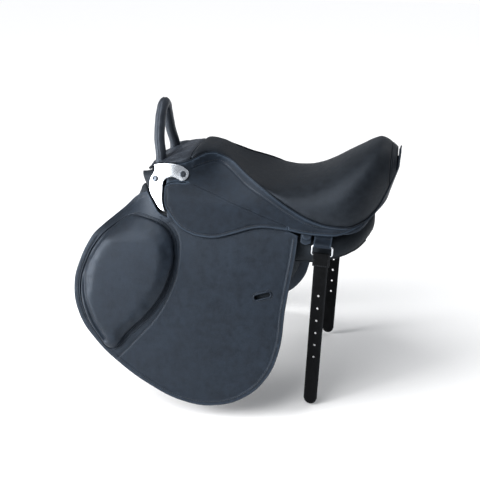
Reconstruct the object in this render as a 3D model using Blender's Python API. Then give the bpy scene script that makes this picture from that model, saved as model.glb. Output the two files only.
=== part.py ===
"""Jumping saddle with a padded grab handle across the pommel.

Metres. +X runs back to the cantle, -Y is the near side, +Z is up. The origin lies on the
horse's back, midway between the panels at the deepest part of the seat.

The sheets of leather on the sides are cut flat and bent over one surface, the side. A place on
it is given by u, the run along the saddle, v, the depth down the side from its top edge, and o,
the height off it.
"""
from math import atan2, cos, exp, hypot, pi, radians, sin, sqrt

import bmesh
import bpy
from mathutils import Matrix, Vector

# The side: a straight upper stretch, a stretch that eases, and a steeper lower stretch
SIDE_TOP_Y = 0.052
SIDE_TOP_Z = 0.140
UPPER_LEAN = radians(28.0)
LOWER_LEAN = radians(15.0)
UPPER_RUN = 0.140
EASE_RUN = 0.120
TWIST_NARROWING = 0.032
TWIST_X = -0.105
TWIST_REACH = 0.060
TWIST_LOW_Z = 0.057
TWIST_HIGH_Z = 0.122
HEAD_BEND_U = -0.200
HEAD_BEND_RADIUS = 0.085
HEAD_BEND_LOW_Z = -0.010
HEAD_BEND_HIGH_Z = 0.050
TAIL_BEND_U = 0.100
TAIL_BEND_RUN = 0.180
TAIL_REACH = 0.105
TAIL_UNDERCUT = 0.33
TAIL_UNDERCUT_Z = 0.125
TAIL_LEAST_REACH = 0.076
TAIL_ROUNDNESS = 0.8
TAIL_FLATTENING = 0.012
TAIL_FLAT_START = radians(50.0)

# The layers on the side, from the tree outwards
CLEARANCE = 0.0004
TREE_WALL = 0.008
SWEAT_FLAP_THICKNESS = 0.0025
GIRTH_STRAP_THICKNESS = 0.0026
FLAP_THICKNESS = 0.0040
SKIRT_THICKNESS = 0.0035
HEAD_PLATE_THICKNESS = 0.0030
KNEE_PAD_HEIGHT = 0.016
PAD_EDGE_RADIUS = 0.024
PAD_CHANNEL_DEPTH = 0.004
PAD_CHANNEL_WIDTH = 0.005

TREE_O = -0.0016
SWEAT_FLAP_O = CLEARANCE
FRONT_STRAP_O = SWEAT_FLAP_O + SWEAT_FLAP_THICKNESS + CLEARANCE
FLAP_O = FRONT_STRAP_O + GIRTH_STRAP_THICKNESS + CLEARANCE
SKIRT_O = FLAP_O + FLAP_THICKNESS + CLEARANCE
KNEE_PAD_O = SKIRT_O + 3 * CLEARANCE
COVER_O = SKIRT_O + SKIRT_THICKNESS
HEAD_PLATE_O = COVER_O + 2 * CLEARANCE

# The seat, by stations along x
POMMEL_STATIONS = (-0.2475, -0.2445, -0.2400, -0.2275, -0.2115, -0.1915, -0.1690)
SEAT_STATIONS = (
    -0.1680, -0.1560, -0.1410, -0.1250, -0.1060, -0.0890, -0.0740, -0.0590, -0.0430, -0.0250,
    0.0000, 0.0320, 0.0620, 0.0900, 0.1170, 0.1410, 0.1600, 0.1740, 0.1830, 0.1890, 0.1930,
    0.1965, 0.1990, 0.2003,
)
SEAT_FOAM = 0.014
CANTLE_SOLID_FROM = 0.1890
CANTLE_BACK_DEPTH = 0.010
COVER_EDGE_DEPTH = 0.0045
TREE_DROP = 0.0035
TREE_CROWN = 0.007
TREE_REAR_LIFT = 0.0088
TREE_LIFT_FROM = 0.075
TREE_LIFT_RUN = 0.030
CREST = (
    (-0.2475, 0.105), (-0.2330, 0.1125), (-0.2150, 0.120), (-0.1950, 0.129), (-0.1680, 0.138),
    (-0.1550, 0.1435), (-0.1250, 0.140), (-0.0980, 0.124), (-0.0690, 0.105), (-0.0400, 0.0935),
    (-0.0090, 0.090), (0.0320, 0.095), (0.0600, 0.104), (0.0850, 0.117), (0.1100, 0.133),
    (0.1360, 0.149), (0.1570, 0.162), (0.1700, 0.167), (0.1790, 0.165), (0.1870, 0.1605),
    (0.1960, 0.154), (0.2030, 0.148),
)
WELT = (
    (-0.2700, 0.051), (-0.2450, 0.045), (-0.2150, 0.031), (-0.1860, 0.030), (-0.1630, 0.023),
    (-0.1410, 0.013), (-0.1300, 0.012), (-0.1160, 0.017), (-0.0950, 0.026), (-0.0760, 0.038),
    (-0.0330, 0.062),
    (0.0200, 0.095), (0.0620, 0.115), (0.0960, 0.123), (0.1270, 0.124), (0.1650, 0.114),
    (0.1810, 0.104), (0.1950, 0.090), (0.2070, 0.064), (0.2180, 0.032), (0.2300, 0.008),
    (0.2450, -0.003), (0.2800, -0.006),
)
TREE_LOW_Z = (
    (-0.2430, 0.050), (-0.2000, 0.030), (0.0600, 0.028), (0.1200, 0.032), (0.1450, 0.041),
    (0.1600, 0.052), (0.1720, 0.074), (0.1850, 0.108),
)
TREE_STATIONS = (-0.2400, -0.2275, -0.2115, -0.1915, -0.1685, *SEAT_STATIONS[1:18])
TREE_SLOT_FRONT_X = -0.050
TREE_SLOT_REAR_X = 0.085
TREE_SLOT_WIDTH = 0.070
WEB_THICKNESS = 0.0018
WEB_STATIONS = SEAT_STATIONS[3:15]

# The fold that the flap and the skirt swing on, as two places on the skirt's outer face
FOLD_FRONT = (-0.215, 0.050)
FOLD_REAR = (0.045, 0.138)
FOLD_GAP = 0.0012
FOLD_RISE = 0.0003

# The stirrup bar, let into a window in the tree's wall
BAR_FRONT_U = -0.150
BAR_REAR_U = -0.072
BAR_V = 0.105
BAR_RADIUS = 0.0040
BAR_CENTRE_O = 0.0020
BAR_PLATE_THICKNESS = 0.0030
BAR_PLATE_HEIGHT = 0.022
BAR_WINDOW_HEIGHT = 0.023
BAR_WINDOW_MARGIN = 0.010
BAR_PLATE_LAP = 0.016
RIVET_RADIUS = 0.0030
CATCH_LENGTH = 0.020
CATCH_PIN_REACH = 0.0055
CATCH_THICKNESS = 0.0036
CATCH_WIDTH = 0.0085
CATCH_PIN_RADIUS = 0.0017

# The grab handle
HANDLE_ROD_RADIUS = 0.0040
HANDLE_GRIP_RADIUS = 0.0098
HANDLE_X = -0.2315
HANDLE_ROUTE = (
    (0.0470, 0.090, 0.0000), (0.0445, 0.122, 0.0010), (0.0370, 0.150, -0.0035),
    (0.0295, 0.171, -0.0045), (0.0215, 0.190, -0.0045), (0.0120, 0.2060, -0.0035),
)
HANDLE_APEX_Z = 0.2125
HANDLE_ROD_END_Z = 0.066
HANDLE_GRIP_FOOT_Z = 0.1070
HANDLE_NUT_RADIUS = 0.0072
HANDLE_NUT_HEIGHT = 0.0060

# The head plate and its bolts
BOLT_RADIUS = 0.0030
BOLT_HEAD_RADIUS = 0.0058
BOLT_HEAD_HEIGHT = 0.0026
BOLT_SOCKET_RADIUS = 0.0027
BOLT_GRIP = 0.0060
BOLT_SEATING = 0.0006
FRONT_BOLT = (-0.2235, 0.063)
REAR_BOLT = (-0.1770, 0.052)
HEAD_PLATE_OUTLINE = (
    (-0.2290, 0.0375, True), (-0.2180, 0.0340), (-0.2040, 0.0330), (-0.1890, 0.0345),
    (-0.1750, 0.0410), (-0.1665, 0.0520), (-0.1705, 0.0605), (-0.1775, 0.0635),
    (-0.1850, 0.0605), (-0.1930, 0.0575), (-0.2010, 0.0580), (-0.2075, 0.0625),
    (-0.2095, 0.0700), (-0.2090, 0.0840), (-0.2080, 0.0980), (-0.2045, 0.1120),
    (-0.2010, 0.1210, True), (-0.2110, 0.1150), (-0.2185, 0.1050), (-0.2270, 0.0940),
    (-0.2325, 0.0830), (-0.2335, 0.0740), (-0.2325, 0.0630), (-0.2285, 0.0530),
    (-0.2265, 0.0450),
)
HEAD_PAD_OUTLINE = (
    (-0.2620, 0.0530, True), (-0.2450, 0.0480), (-0.2350, 0.0430), (-0.2220, 0.0370),
    (-0.2105, 0.0345, True), (-0.2106, 0.0700),
    (-0.2100, 0.0980), (-0.2065, 0.1120), (-0.2050, 0.1200, True), (-0.2135, 0.1155),
    (-0.2210, 0.1050), (-0.2290, 0.0955), (-0.2440, 0.0800), (-0.2600, 0.0620),
)

# The flap, its knee pad and its keeper slot, as cut flat
FLAP_OUTLINE = (
    (0.0420, 0.1435, True), (0.0390, 0.1900), (0.0340, 0.2300), (0.0290, 0.2750),
    (0.0230, 0.3480), (0.0040, 0.4000), (-0.0360, 0.4420), (-0.0920, 0.4630),
    (-0.1500, 0.4610), (-0.2110, 0.4390), (-0.2720, 0.4040), (-0.3190, 0.3660),
    (-0.3540, 0.3200), (-0.3660, 0.2660), (-0.3550, 0.2130), (-0.3330, 0.1660),
    (-0.3220, 0.1480), (-0.3000, 0.1270), (-0.2680, 0.1030), (-0.2430, 0.0880, True),
    (-0.2330, 0.0990), (-0.2240, 0.1100), (-0.2150, 0.1210), (-0.1975, 0.1300, True),
    (-0.2008, 0.1180), (-0.2032, 0.1100), (-0.2052, 0.0980), (-0.2052, 0.0745, True),
    (-0.1990, 0.0708), (-0.1930, 0.0692), (-0.1850, 0.0685), (-0.1680, 0.0700, True),
    (-0.1620, 0.1280, True), (-0.0460, 0.1280, True), (-0.0460, 0.1110, True),
    (0.0100, 0.1310, True),
)
KNEE_PAD_OUTLINE = (
    (-0.2320, 0.1320), (-0.2050, 0.1395), (-0.1860, 0.1560), (-0.1760, 0.1800),
    (-0.1790, 0.2370), (-0.2090, 0.2990), (-0.2570, 0.3530), (-0.2830, 0.3800),
    (-0.2970, 0.3790), (-0.3150, 0.3600), (-0.3440, 0.3160), (-0.3555, 0.2660),
    (-0.3450, 0.2160), (-0.3240, 0.1760), (-0.3030, 0.1530), (-0.2780, 0.1380),
    (-0.2540, 0.1310),
)
PAD_CHANNEL = (
    (-0.3060, 0.1660), (-0.3250, 0.1920), (-0.3430, 0.2300), (-0.3440, 0.2640),
    (-0.3360, 0.2950), (-0.3190, 0.3310), (-0.2980, 0.3600),
)
PAD_SPINE = ((-0.2560, 0.1620), (-0.2890, 0.3420))
PAD_RINGS = (0.0, 0.0022, 0.0060, 0.0105, 0.0150, 0.0260, 0.0900)
PAD_UNDER_RINGS = (0.0, 0.0090, 0.0180, 0.0300, 0.0900)
PAD_EDGE = 0.0012
KEEPER_U = -0.012
KEEPER_V = 0.253
KEEPER_LENGTH = 0.030
KEEPER_WIDTH = 0.008
KEEPER_TILT = radians(-19.0)

# The skirt, its fixed upper part and the sweat flap, as cut flat
SKIRT_HEAD_EDGE = (
    (-0.1680, 0.0676, True), (-0.1775, 0.0662), (-0.1850, 0.0656), (-0.1930, 0.0663),
    (-0.1990, 0.0678), (-0.2055, 0.0718), (-0.2078, 0.0775), (-0.2074, 0.0860),
    (-0.2063, 0.0978),
)
BAND_HEAD_EDGE = (
    (-0.1715, 0.0652, True), (-0.1775, 0.0648), (-0.1850, 0.0643), (-0.1930, 0.0650),
    (-0.1990, 0.0665), (-0.2055, 0.0704, True),
)
SKIRT_EDGE = (
    (-0.2028, 0.1115), (-0.1960, 0.1215), (-0.1850, 0.1340),
    (-0.1720, 0.1460), (-0.1520, 0.1550), (-0.1330, 0.1590), (-0.1060, 0.1590),
    (-0.0750, 0.1500), (-0.0440, 0.1390), (-0.0210, 0.1345), (0.0040, 0.1350),
)
SKIRT_FRONT_U = -0.2055
SKIRT_REAR_U = 0.0240
BAND_EDGE = (
    (0.0530, 0.1400), (0.0790, 0.1410), (0.1020, 0.1400), (0.1200, 0.1350), (0.1490, 0.1250),
    (0.1750, 0.1140), (0.1930, 0.1000), (0.2150, 0.0880), (0.2400, 0.0800),
)
BAND_REAR_U = 0.2797
BAND_GAP = 0.0020
BAND_REAR_V = 0.0760
SWEAT_FLAP_OUTLINE = (
    (-0.2150, 0.1210, True), (0.0280, 0.1280, True), (0.0220, 0.1900), (0.0120, 0.2600),
    (0.0020, 0.3500), (-0.0300, 0.4000), (-0.1000, 0.4250), (-0.1700, 0.4160),
    (-0.2400, 0.3720), (-0.2880, 0.3050), (-0.2980, 0.2400), (-0.2750, 0.1720),
    (-0.2350, 0.1320),
)
FRONT_STRAP_U = -0.060
FRONT_STRAP_TOP_V = 0.118
FRONT_STRAP_END_V = 0.430

# The panels, by stations along x
GULLET_HALF_WIDTH = (
    (-0.2720, 0.056), (-0.2620, 0.046), (-0.2400, 0.042), (-0.2000, 0.037), (-0.1000, 0.033),
    (0.0000, 0.032), (0.1000, 0.032), (0.1740, 0.034),
)
PANEL_INNER_TOP_Z = (
    (-0.2720, 0.068), (-0.2620, 0.078), (-0.2400, 0.062), (-0.1000, 0.058), (0.0000, 0.050),
    (0.1000, 0.058), (0.1400, 0.064), (0.1740, 0.060),
)
PANEL_OUTER_TOP_Z = (
    (-0.2720, 0.064), (-0.2620, 0.072), (-0.2500, 0.060), (-0.2350, 0.030), (-0.2000, 0.0245),
    (0.0600, 0.0190), (0.1000, 0.0200), (0.1450, 0.0290), (0.1600, 0.0360), (0.1740, 0.0440),
)
PANEL_INNER_LOW_Z = (
    (-0.2720, 0.030), (-0.2400, 0.022), (-0.1800, 0.010), (-0.1000, 0.002), (0.0000, 0.0),
    (0.0800, 0.003), (0.1300, 0.010), (0.1600, 0.018), (0.1740, 0.028),
)
PANEL_OUTER_LOW_Z = (
    (-0.2720, 0.018), (-0.2620, -0.012), (-0.2450, -0.034), (-0.2000, -0.052), (-0.1300, -0.056),
    (-0.0500, -0.048), (0.0400, -0.036), (0.0720, -0.034), (0.0980, -0.028), (0.1330, -0.018),
    (0.1510, -0.010), (0.1630, 0.000), (0.1740, 0.012),
)
PANEL_STATIONS = (
    -0.2720, -0.2680, -0.2580, -0.2400, -0.2180, -0.1900, -0.1500, -0.1000, -0.0500, 0.0000,
    0.0450, 0.0800, 0.1100, 0.1330, 0.1500, 0.1620, 0.1700, 0.1740,
)
PANEL_FRONT_BEND_X = -0.200
PANEL_FRONT_BEND_RUN = 0.078
PANEL_REAR_BEND_X = 0.100
PANEL_REAR_BEND_RUN = 0.078
PANEL_END_ROUNDNESS = 0.55
PANEL_REAR_BULGE = 0.0028
PANEL_CROWN = 0.007

# The rear girth attachment
RING_X = 0.087
RING_WIDTH = 0.039
RING_HEIGHT = 0.020
RING_WIRE_RADIUS = 0.0017
RING_CORNER = 0.0020
RING_TOP_Y = 0.1408
RING_TOP_Z = 0.0069
STRAP_LEAN = radians(2.0)
CHAPE_WIDTH = 0.0305
CHAPE_THICKNESS = 0.0024
CHAPE_RUN = 0.034
LOOP_WIDTH = 0.0300
LOOP_LENGTH = 0.0210
LOOP_PLY = 0.0018
EYE_CLEARANCE = 0.0007
STRAP_WIDTH = 0.0250
STRAP_LENGTH = 0.2960
STRAP_TENON = 0.0120
STRAP_TENON_THICKNESS = 0.0018
STRAP_HOLE_RADIUS = 0.0023
STRAP_HOLE_PITCH = 0.0250
STRAP_HOLES = 6
STRAP_FIRST_HOLE = 0.0700

# Mesh steps
LEAF_STEPS = 3
COARSE_STRIP = 0.044
FINE_U_STRIP = 0.011
FINE_V_STRIP = 0.027
BENT_TO_V = 0.165
CROWN_STEPS = 12
MERGE = 0.00001

COLOURS = {
    "leather": ((0.030, 0.034, 0.040, 1.0), 0.42, 0.0),
    "seat": ((0.040, 0.042, 0.044, 1.0), 0.50, 0.0),
    "panel": ((0.035, 0.037, 0.039, 1.0), 0.60, 0.0),
    "webbing": ((0.30, 0.28, 0.24, 1.0), 0.85, 0.0),
    "tree": ((0.10, 0.10, 0.11, 1.0), 0.55, 0.0),
    "steel": ((0.80, 0.82, 0.85, 1.0), 0.18, 1.0),
}


# Smooth curves and the side surface


def smoothstep(share):
    """Ease from 0 to 1 as share goes from 0 to 1."""
    share = min(max(share, 0.0), 1.0)
    return share * share * (3.0 - 2.0 * share)


def slope_at(knots, i):
    """Slope of the smooth curve through the knots at knot i, without overshoot."""
    if i in (0, len(knots) - 1):
        return 0.0
    before = (knots[i][1] - knots[i - 1][1]) / (knots[i][0] - knots[i - 1][0])
    after = (knots[i + 1][1] - knots[i][1]) / (knots[i + 1][0] - knots[i][0])
    if before * after <= 0.0:
        return 0.0
    return 2.0 * before * after / (before + after)


def fair(knots, s):
    """Value at s of the smooth curve through (station, value) knots."""
    if s <= knots[0][0]:
        return knots[0][1]
    for i in range(len(knots) - 1):
        (a, value_a), (b, value_b) = knots[i], knots[i + 1]
        if s <= b:
            span = b - a
            t = (s - a) / span
            rise_a = slope_at(knots, i) * span
            rise_b = slope_at(knots, i + 1) * span
            return (
                value_a * (2 * t**3 - 3 * t**2 + 1) + rise_a * (t**3 - 2 * t**2 + t)
                + value_b * (3 * t**2 - 2 * t**3) + rise_b * (t**3 - t**2)
            )
    return knots[-1][1]


def side_section(v, o):
    """Distance from the centre plane and height of the side at depth v, height o off it."""
    y = SIDE_TOP_Y + min(v, UPPER_RUN) * sin(UPPER_LEAN)
    z = SIDE_TOP_Z - min(v, UPPER_RUN) * cos(UPPER_LEAN)
    lean = UPPER_LEAN
    if v > UPPER_RUN:
        eased = min(v - UPPER_RUN, EASE_RUN)
        rate = (UPPER_LEAN - LOWER_LEAN) / EASE_RUN
        lean = UPPER_LEAN - rate * eased
        y += (cos(lean) - cos(UPPER_LEAN)) / rate
        z -= (sin(UPPER_LEAN) - sin(lean)) / rate
    if v > UPPER_RUN + EASE_RUN:
        y += (v - UPPER_RUN - EASE_RUN) * sin(LOWER_LEAN)
        z -= (v - UPPER_RUN - EASE_RUN) * cos(LOWER_LEAN)
    return y, o * cos(lean), z + o * sin(lean)


def twist(u, z):
    """How far the side is drawn in at the twist of the seat."""
    along = exp(-(((u - TWIST_X) / TWIST_REACH) ** 2))
    return TWIST_NARROWING * along * smoothstep((z - TWIST_LOW_Z) / (TWIST_HIGH_Z - TWIST_LOW_Z))


def side(u, v, o=0.0):
    """Point of the side, on the +Y half: u along the saddle, v down it and o off it."""
    y, out, z = side_section(v, o)
    x = u
    if u < HEAD_BEND_U:
        turn = (HEAD_BEND_U - u) / HEAD_BEND_RADIUS
        share = smoothstep((z - HEAD_BEND_LOW_Z) / (HEAD_BEND_HIGH_Z - HEAD_BEND_LOW_Z))
        bent_x = HEAD_BEND_U - (HEAD_BEND_RADIUS + out) * sin(turn)
        bent_y = y - HEAD_BEND_RADIUS + (HEAD_BEND_RADIUS + out) * cos(turn)
        x = u + (bent_x - u) * share
        y = (y + out) + (bent_y - y - out) * share
    elif u > TAIL_BEND_U:
        turn = min((u - TAIL_BEND_U) / TAIL_BEND_RUN, 1.0) * pi / 2
        undercut = TAIL_UNDERCUT * max(TAIL_UNDERCUT_Z - z, 0.0)
        reach = max(TAIL_REACH - undercut, TAIL_LEAST_REACH)
        x = TAIL_BEND_U + (reach + out) * sin(turn) ** TAIL_ROUNDNESS
        x -= TAIL_FLATTENING * smoothstep((turn - TAIL_FLAT_START) / (pi / 2 - TAIL_FLAT_START))
        y = (y + out) * max(cos(turn), 0.0) ** TAIL_ROUNDNESS
    else:
        y = y + out
    return Vector((x, y - twist(u, z), z))


def solve(function, low, high):
    """The value between low and high at which a rising function passes zero."""
    for _ in range(40):
        middle = (low + high) / 2
        if function(middle) < 0.0:
            low = middle
        else:
            high = middle
    return (low + high) / 2


def side_at(x, z, o):
    """Point of the side at a given x and height z, at height o off it."""
    v = solve(lambda depth: z - side_section(depth, o)[2], -0.080, 0.600)
    u = solve(lambda run: side(run, v, o).x - x, -0.420, TAIL_BEND_U + TAIL_BEND_RUN)
    return side(u, v, o)


def run_at(x, o):
    """The run u at which the welt that the seat ends on lies at a given x."""
    return solve(lambda run: side(run, fair(WELT, run), o).x - x, -0.420, TAIL_BEND_U + TAIL_BEND_RUN)


def welt_at(x, o):
    """Point at a given x of the welt that the seat ends on, at height o off the side."""
    u = run_at(x, o)
    return side(u, fair(WELT, u), o)


def fold_v(u):
    """Depth of the fold at u."""
    share = (u - FOLD_FRONT[0]) / (FOLD_REAR[0] - FOLD_FRONT[0])
    return FOLD_FRONT[1] + (FOLD_REAR[1] - FOLD_FRONT[1]) * share


# Objects and materials


def clear_scene():
    """Remove what a new file holds."""
    for obj in list(bpy.data.objects):
        bpy.data.objects.remove(obj, do_unlink=True)


def material(name):
    """The material of that name, made once."""
    if name in bpy.data.materials:
        return bpy.data.materials[name]
    colour, roughness, metallic = COLOURS[name.split(".")[0]]
    made = bpy.data.materials.new(name)
    made.use_nodes = True
    shader = made.node_tree.nodes["Principled BSDF"]
    shader.inputs["Base Color"].default_value = colour
    shader.inputs["Roughness"].default_value = roughness
    shader.inputs["Metallic"].default_value = metallic
    return made


def new_object(name, bm, finish, collection):
    """Turn a closed bmesh into an object whose faces point out."""
    bmesh.ops.remove_doubles(bm, verts=bm.verts, dist=MERGE)
    bm.normal_update()
    bmesh.ops.recalc_face_normals(bm, faces=bm.faces)
    mesh = bpy.data.meshes.new(name)
    bm.to_mesh(mesh)
    bm.free()
    mesh.shade_smooth()
    mesh.set_sharp_from_angle(angle=radians(38.0))
    obj = bpy.data.objects.new(name, mesh)
    collection.objects.link(obj)
    mesh.materials.append(material(f"{finish}.{name}"))
    return obj


def mirrored(obj, name, collection):
    """A copy of a near-side object on the off side."""
    bm = bmesh.new()
    bm.from_mesh(obj.data)
    bmesh.ops.transform(bm, matrix=obj.matrix_world, verts=bm.verts)
    bmesh.ops.scale(bm, vec=(1.0, -1.0, 1.0), verts=bm.verts)
    finish = obj.data.materials[0].name.split(".")[0]
    return new_object(name, bm, finish, collection)


def triangulate(obj):
    """Split an object's bent faces into triangles, so that its mirrored copy matches it."""
    bm = bmesh.new()
    bm.from_mesh(obj.data)
    bmesh.ops.triangulate(bm, faces=bm.faces)
    bm.to_mesh(obj.data)
    bm.free()


def curve_to_bmesh(curve):
    """The closed mesh of a curve, its caps welded on."""
    obj = bpy.data.objects.new(curve.name, curve)
    bpy.context.scene.collection.objects.link(obj)
    bpy.context.view_layer.update()
    evaluated = obj.evaluated_get(bpy.context.evaluated_depsgraph_get())
    mesh = bpy.data.meshes.new_from_object(evaluated)
    bm = bmesh.new()
    bm.from_mesh(mesh)
    bmesh.ops.remove_doubles(bm, verts=bm.verts, dist=MERGE)
    bpy.data.objects.remove(obj, do_unlink=True)
    bpy.data.meshes.remove(mesh)
    return bm


def flat_curve(name, outlines, thickness, steps=LEAF_STEPS):
    """A filled flat outline with a thickness; a knot with True after it is a corner."""
    curve = bpy.data.curves.new(name, "CURVE")
    curve.dimensions = "2D"
    curve.fill_mode = "BOTH"
    curve.extrude = thickness / 2
    curve.resolution_u = steps
    for outline in outlines:
        spline = curve.splines.new("BEZIER")
        spline.bezier_points.add(len(outline) - 1)
        spline.use_cyclic_u = True
        for point, knot in zip(spline.bezier_points, outline):
            point.co = (knot[0], knot[1], 0.0)
            kind = "VECTOR" if len(knot) > 2 else "AUTO"
            point.handle_left_type = kind
            point.handle_right_type = kind
    return curve


def tube(name, points, radius, sides, cyclic=False):
    """A round wire through the points, as a closed bmesh."""
    curve = bpy.data.curves.new(name, "CURVE")
    curve.dimensions = "3D"
    curve.bevel_depth = radius
    curve.bevel_resolution = sides
    curve.use_fill_caps = not cyclic
    spline = curve.splines.new("POLY")
    spline.points.add(len(points) - 1)
    spline.use_cyclic_u = cyclic
    for point, place in zip(spline.points, points):
        point.co = (*place, 1.0)
    return curve_to_bmesh(curve)


def through(points, steps, cyclic=False):
    """Points of the smooth curve through a list of places, steps to a span."""
    count = len(points)
    spans = count if cyclic else count - 1
    made = []
    for i in range(spans):
        if cyclic:
            a, b, c, d = (Vector(points[(i + k) % count]) for k in (-1, 0, 1, 2))
        else:
            b, c = Vector(points[i]), Vector(points[i + 1])
            a = Vector(points[i - 1]) if i else 2 * b - c
            d = Vector(points[i + 2]) if i + 2 < count else 2 * c - b
        for k in range(steps):
            t = k / steps
            made.append(
                0.5 * (2 * b + (c - a) * t + (2 * a - 5 * b + 4 * c - d) * t**2
                       + (3 * b - a - 3 * c + d) * t**3)
            )
    if not cyclic:
        made.append(Vector(points[-1]))
    return made


def loft(name, rings, finish, collection):
    """A closed solid through rings of equally many points, closed at both ends."""
    bm = bmesh.new()
    rows = [[bm.verts.new(point) for point in ring] for ring in rings]
    size = len(rows[0])
    for row, following in zip(rows, rows[1:]):
        for i in range(size):
            j = (i + 1) % size
            bm.faces.new((row[i], row[j], following[j], following[i]))
    bmesh.ops.triangulate(bm, faces=bm.faces, quad_method="SHORT_EDGE")
    bm.faces.new(rows[0])
    bm.faces.new(rows[-1])
    return new_object(name, bm, finish, collection)


def cut(obj, cutter, operation="DIFFERENCE"):
    """Cut an object's mesh with a bmesh, or join the bmesh to it, for good."""
    cutter.normal_update()
    bmesh.ops.recalc_face_normals(cutter, faces=cutter.faces)
    mesh = bpy.data.meshes.new(f"{obj.name}_cutter")
    cutter.to_mesh(mesh)
    cutter.free()
    tool = bpy.data.objects.new(mesh.name, mesh)
    CUTTERS.objects.link(tool)
    tool.hide_render = True
    tool.display_type = "WIRE"
    modifier = obj.modifiers.new("cut", "BOOLEAN")
    modifier.operation = operation
    modifier.object = tool
    bpy.context.view_layer.update()
    evaluated = obj.evaluated_get(bpy.context.evaluated_depsgraph_get())
    result = bpy.data.meshes.new_from_object(evaluated)
    obj.modifiers.remove(modifier)
    obj.data = result
    bpy.data.objects.remove(tool, do_unlink=True)
    tidy = bmesh.new()
    tidy.from_mesh(result)
    bmesh.ops.remove_doubles(tidy, verts=tidy.verts, dist=MERGE)
    bmesh.ops.dissolve_degenerate(tidy, dist=MERGE, edges=tidy.edges)
    tidy.to_mesh(result)
    tidy.free()
    result.shade_smooth()
    result.set_sharp_from_angle(angle=radians(38.0))


def rod(start, end, radius, sides=14):
    """A straight round rod between two points, as a bmesh."""
    start, end = Vector(start), Vector(end)
    axis = end - start
    bm = bmesh.new()
    turn = Vector((0.0, 0.0, 1.0)).rotation_difference(axis).to_matrix().to_4x4()
    place = Matrix.Translation((start + end) / 2) @ turn
    bmesh.ops.create_cone(
        bm, cap_ends=True, segments=sides, radius1=radius, radius2=radius,
        depth=axis.length, matrix=place,
    )
    return bm


# Leather bent over the side


def near(point):
    """The near-side copy of a point of the side."""
    return Vector((point.x, -point.y, point.z))


def strip_places(low, high, step, start):
    """Places from low to high that lie whole steps from start."""
    first = int((low - start) / step) - 1
    last = int((high - start) / step) + 1
    places = [start + step * i for i in range(first, last + 1)]
    return [place for place in places if low + 0.0004 < place < high - 0.0004]


def slice_leaf(bm, axis, place, keep):
    """Cut the faces that keep picks along a line across one axis."""
    normal = Vector((1.0, 0.0, 0.0)) if axis == 0 else Vector((0.0, 1.0, 0.0))
    faces = [face for face in bm.faces if keep(face.calc_center_median())]
    parts = {part for face in faces for part in (*face.verts, *face.edges)}
    bmesh.ops.bisect_plane(
        bm, geom=[*parts, *faces], dist=MERGE, plane_co=normal * place, plane_no=normal,
    )


def leaf_bmesh(name, outlines, thickness, fine_u, steps=LEAF_STEPS):
    """A flat leaf, cut into strips: narrow ones where the side is bent, wide ones below."""
    bm = curve_to_bmesh(flat_curve(name, outlines, thickness, steps))
    bmesh.ops.dissolve_limit(bm, angle_limit=radians(0.5), verts=bm.verts, edges=bm.edges)
    spans = []
    for axis in (0, 1):
        spans.append((min(v.co[axis] for v in bm.verts), max(v.co[axis] for v in bm.verts)))
    everywhere = lambda centre: True
    for place in strip_places(*spans[0], COARSE_STRIP, HEAD_BEND_U):
        slice_leaf(bm, 0, place, everywhere)
    for place in strip_places(max(spans[1][0], BENT_TO_V - 0.001), spans[1][1], COARSE_STRIP, BENT_TO_V):
        slice_leaf(bm, 1, place, everywhere)
    upper = lambda centre: centre.y < BENT_TO_V
    top = min(spans[1][1], BENT_TO_V)
    for place in strip_places(spans[1][0], top, FINE_V_STRIP, BENT_TO_V):
        slice_leaf(bm, 1, place, upper)
    wrapped = lambda centre: centre.y < BENT_TO_V and centre.x < HEAD_BEND_U
    for place in strip_places(spans[1][0], top, FINE_V_STRIP, BENT_TO_V - FINE_V_STRIP / 2):
        slice_leaf(bm, 1, place, wrapped)
    for place in strip_places(spans[0][0], min(spans[0][1], HEAD_BEND_U + 0.045), FINE_U_STRIP, HEAD_BEND_U):
        slice_leaf(bm, 0, place, upper)
    if fine_u:
        for place in strip_places(*spans[0], COARSE_STRIP / 2, HEAD_BEND_U):
            slice_leaf(bm, 0, place, upper)
    return bm


def bend(bm, inner, thickness, rise=None):
    """Bend a flat leaf over the near side, its inner face at height inner off it."""
    for vert in bm.verts:
        u, v, w = vert.co
        share = w / thickness + 0.5
        o = inner + share * (thickness + (rise(u, v) if rise else 0.0))
        vert.co = near(side(u, v, o))
    return bm


def leather(name, outlines, inner, thickness, collection, finish="leather", fine_u=False):
    """A piece of leather on the near side."""
    bm = leaf_bmesh(name, outlines, thickness, fine_u)
    return new_object(name, bend(bm, inner, thickness), finish, collection)


def distance_to_line(u, v, knots, closed):
    """Shortest distance in the flat from a place to a line of knots."""
    best = 1.0
    last = len(knots) if closed else len(knots) - 1
    for i in range(last):
        au, av = knots[i][0], knots[i][1]
        bu, bv = knots[(i + 1) % len(knots)][0], knots[(i + 1) % len(knots)][1]
        length = (bu - au) ** 2 + (bv - av) ** 2
        t = min(max(((u - au) * (bu - au) + (v - av) * (bv - av)) / length, 0.0), 1.0)
        best = min(best, hypot(u - au - t * (bu - au), v - av - t * (bv - av)))
    return best


def pillow(inset, u, v):
    """Height of the knee pad an inset in from its edge: a rounded edge and a stitched channel."""
    share = min(inset / PAD_EDGE_RADIUS, 1.0)
    crown = KNEE_PAD_HEIGHT * sqrt(1.0 - (1.0 - share) ** 2)
    off_channel = distance_to_line(u, v, PAD_CHANNEL, False)
    return crown - PAD_CHANNEL_DEPTH * exp(-((off_channel / PAD_CHANNEL_WIDTH) ** 2)) * share


def nearest_on_spine(u, v):
    """Nearest place to (u, v) on the line that the knee pad's rings shrink on to."""
    (au, av), (bu, bv) = PAD_SPINE
    length = (bu - au) ** 2 + (bv - av) ** 2
    t = min(max(((u - au) * (bu - au) + (v - av) * (bv - av)) / length, 0.0), 1.0)
    return au + t * (bu - au), av + t * (bv - av)


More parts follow.
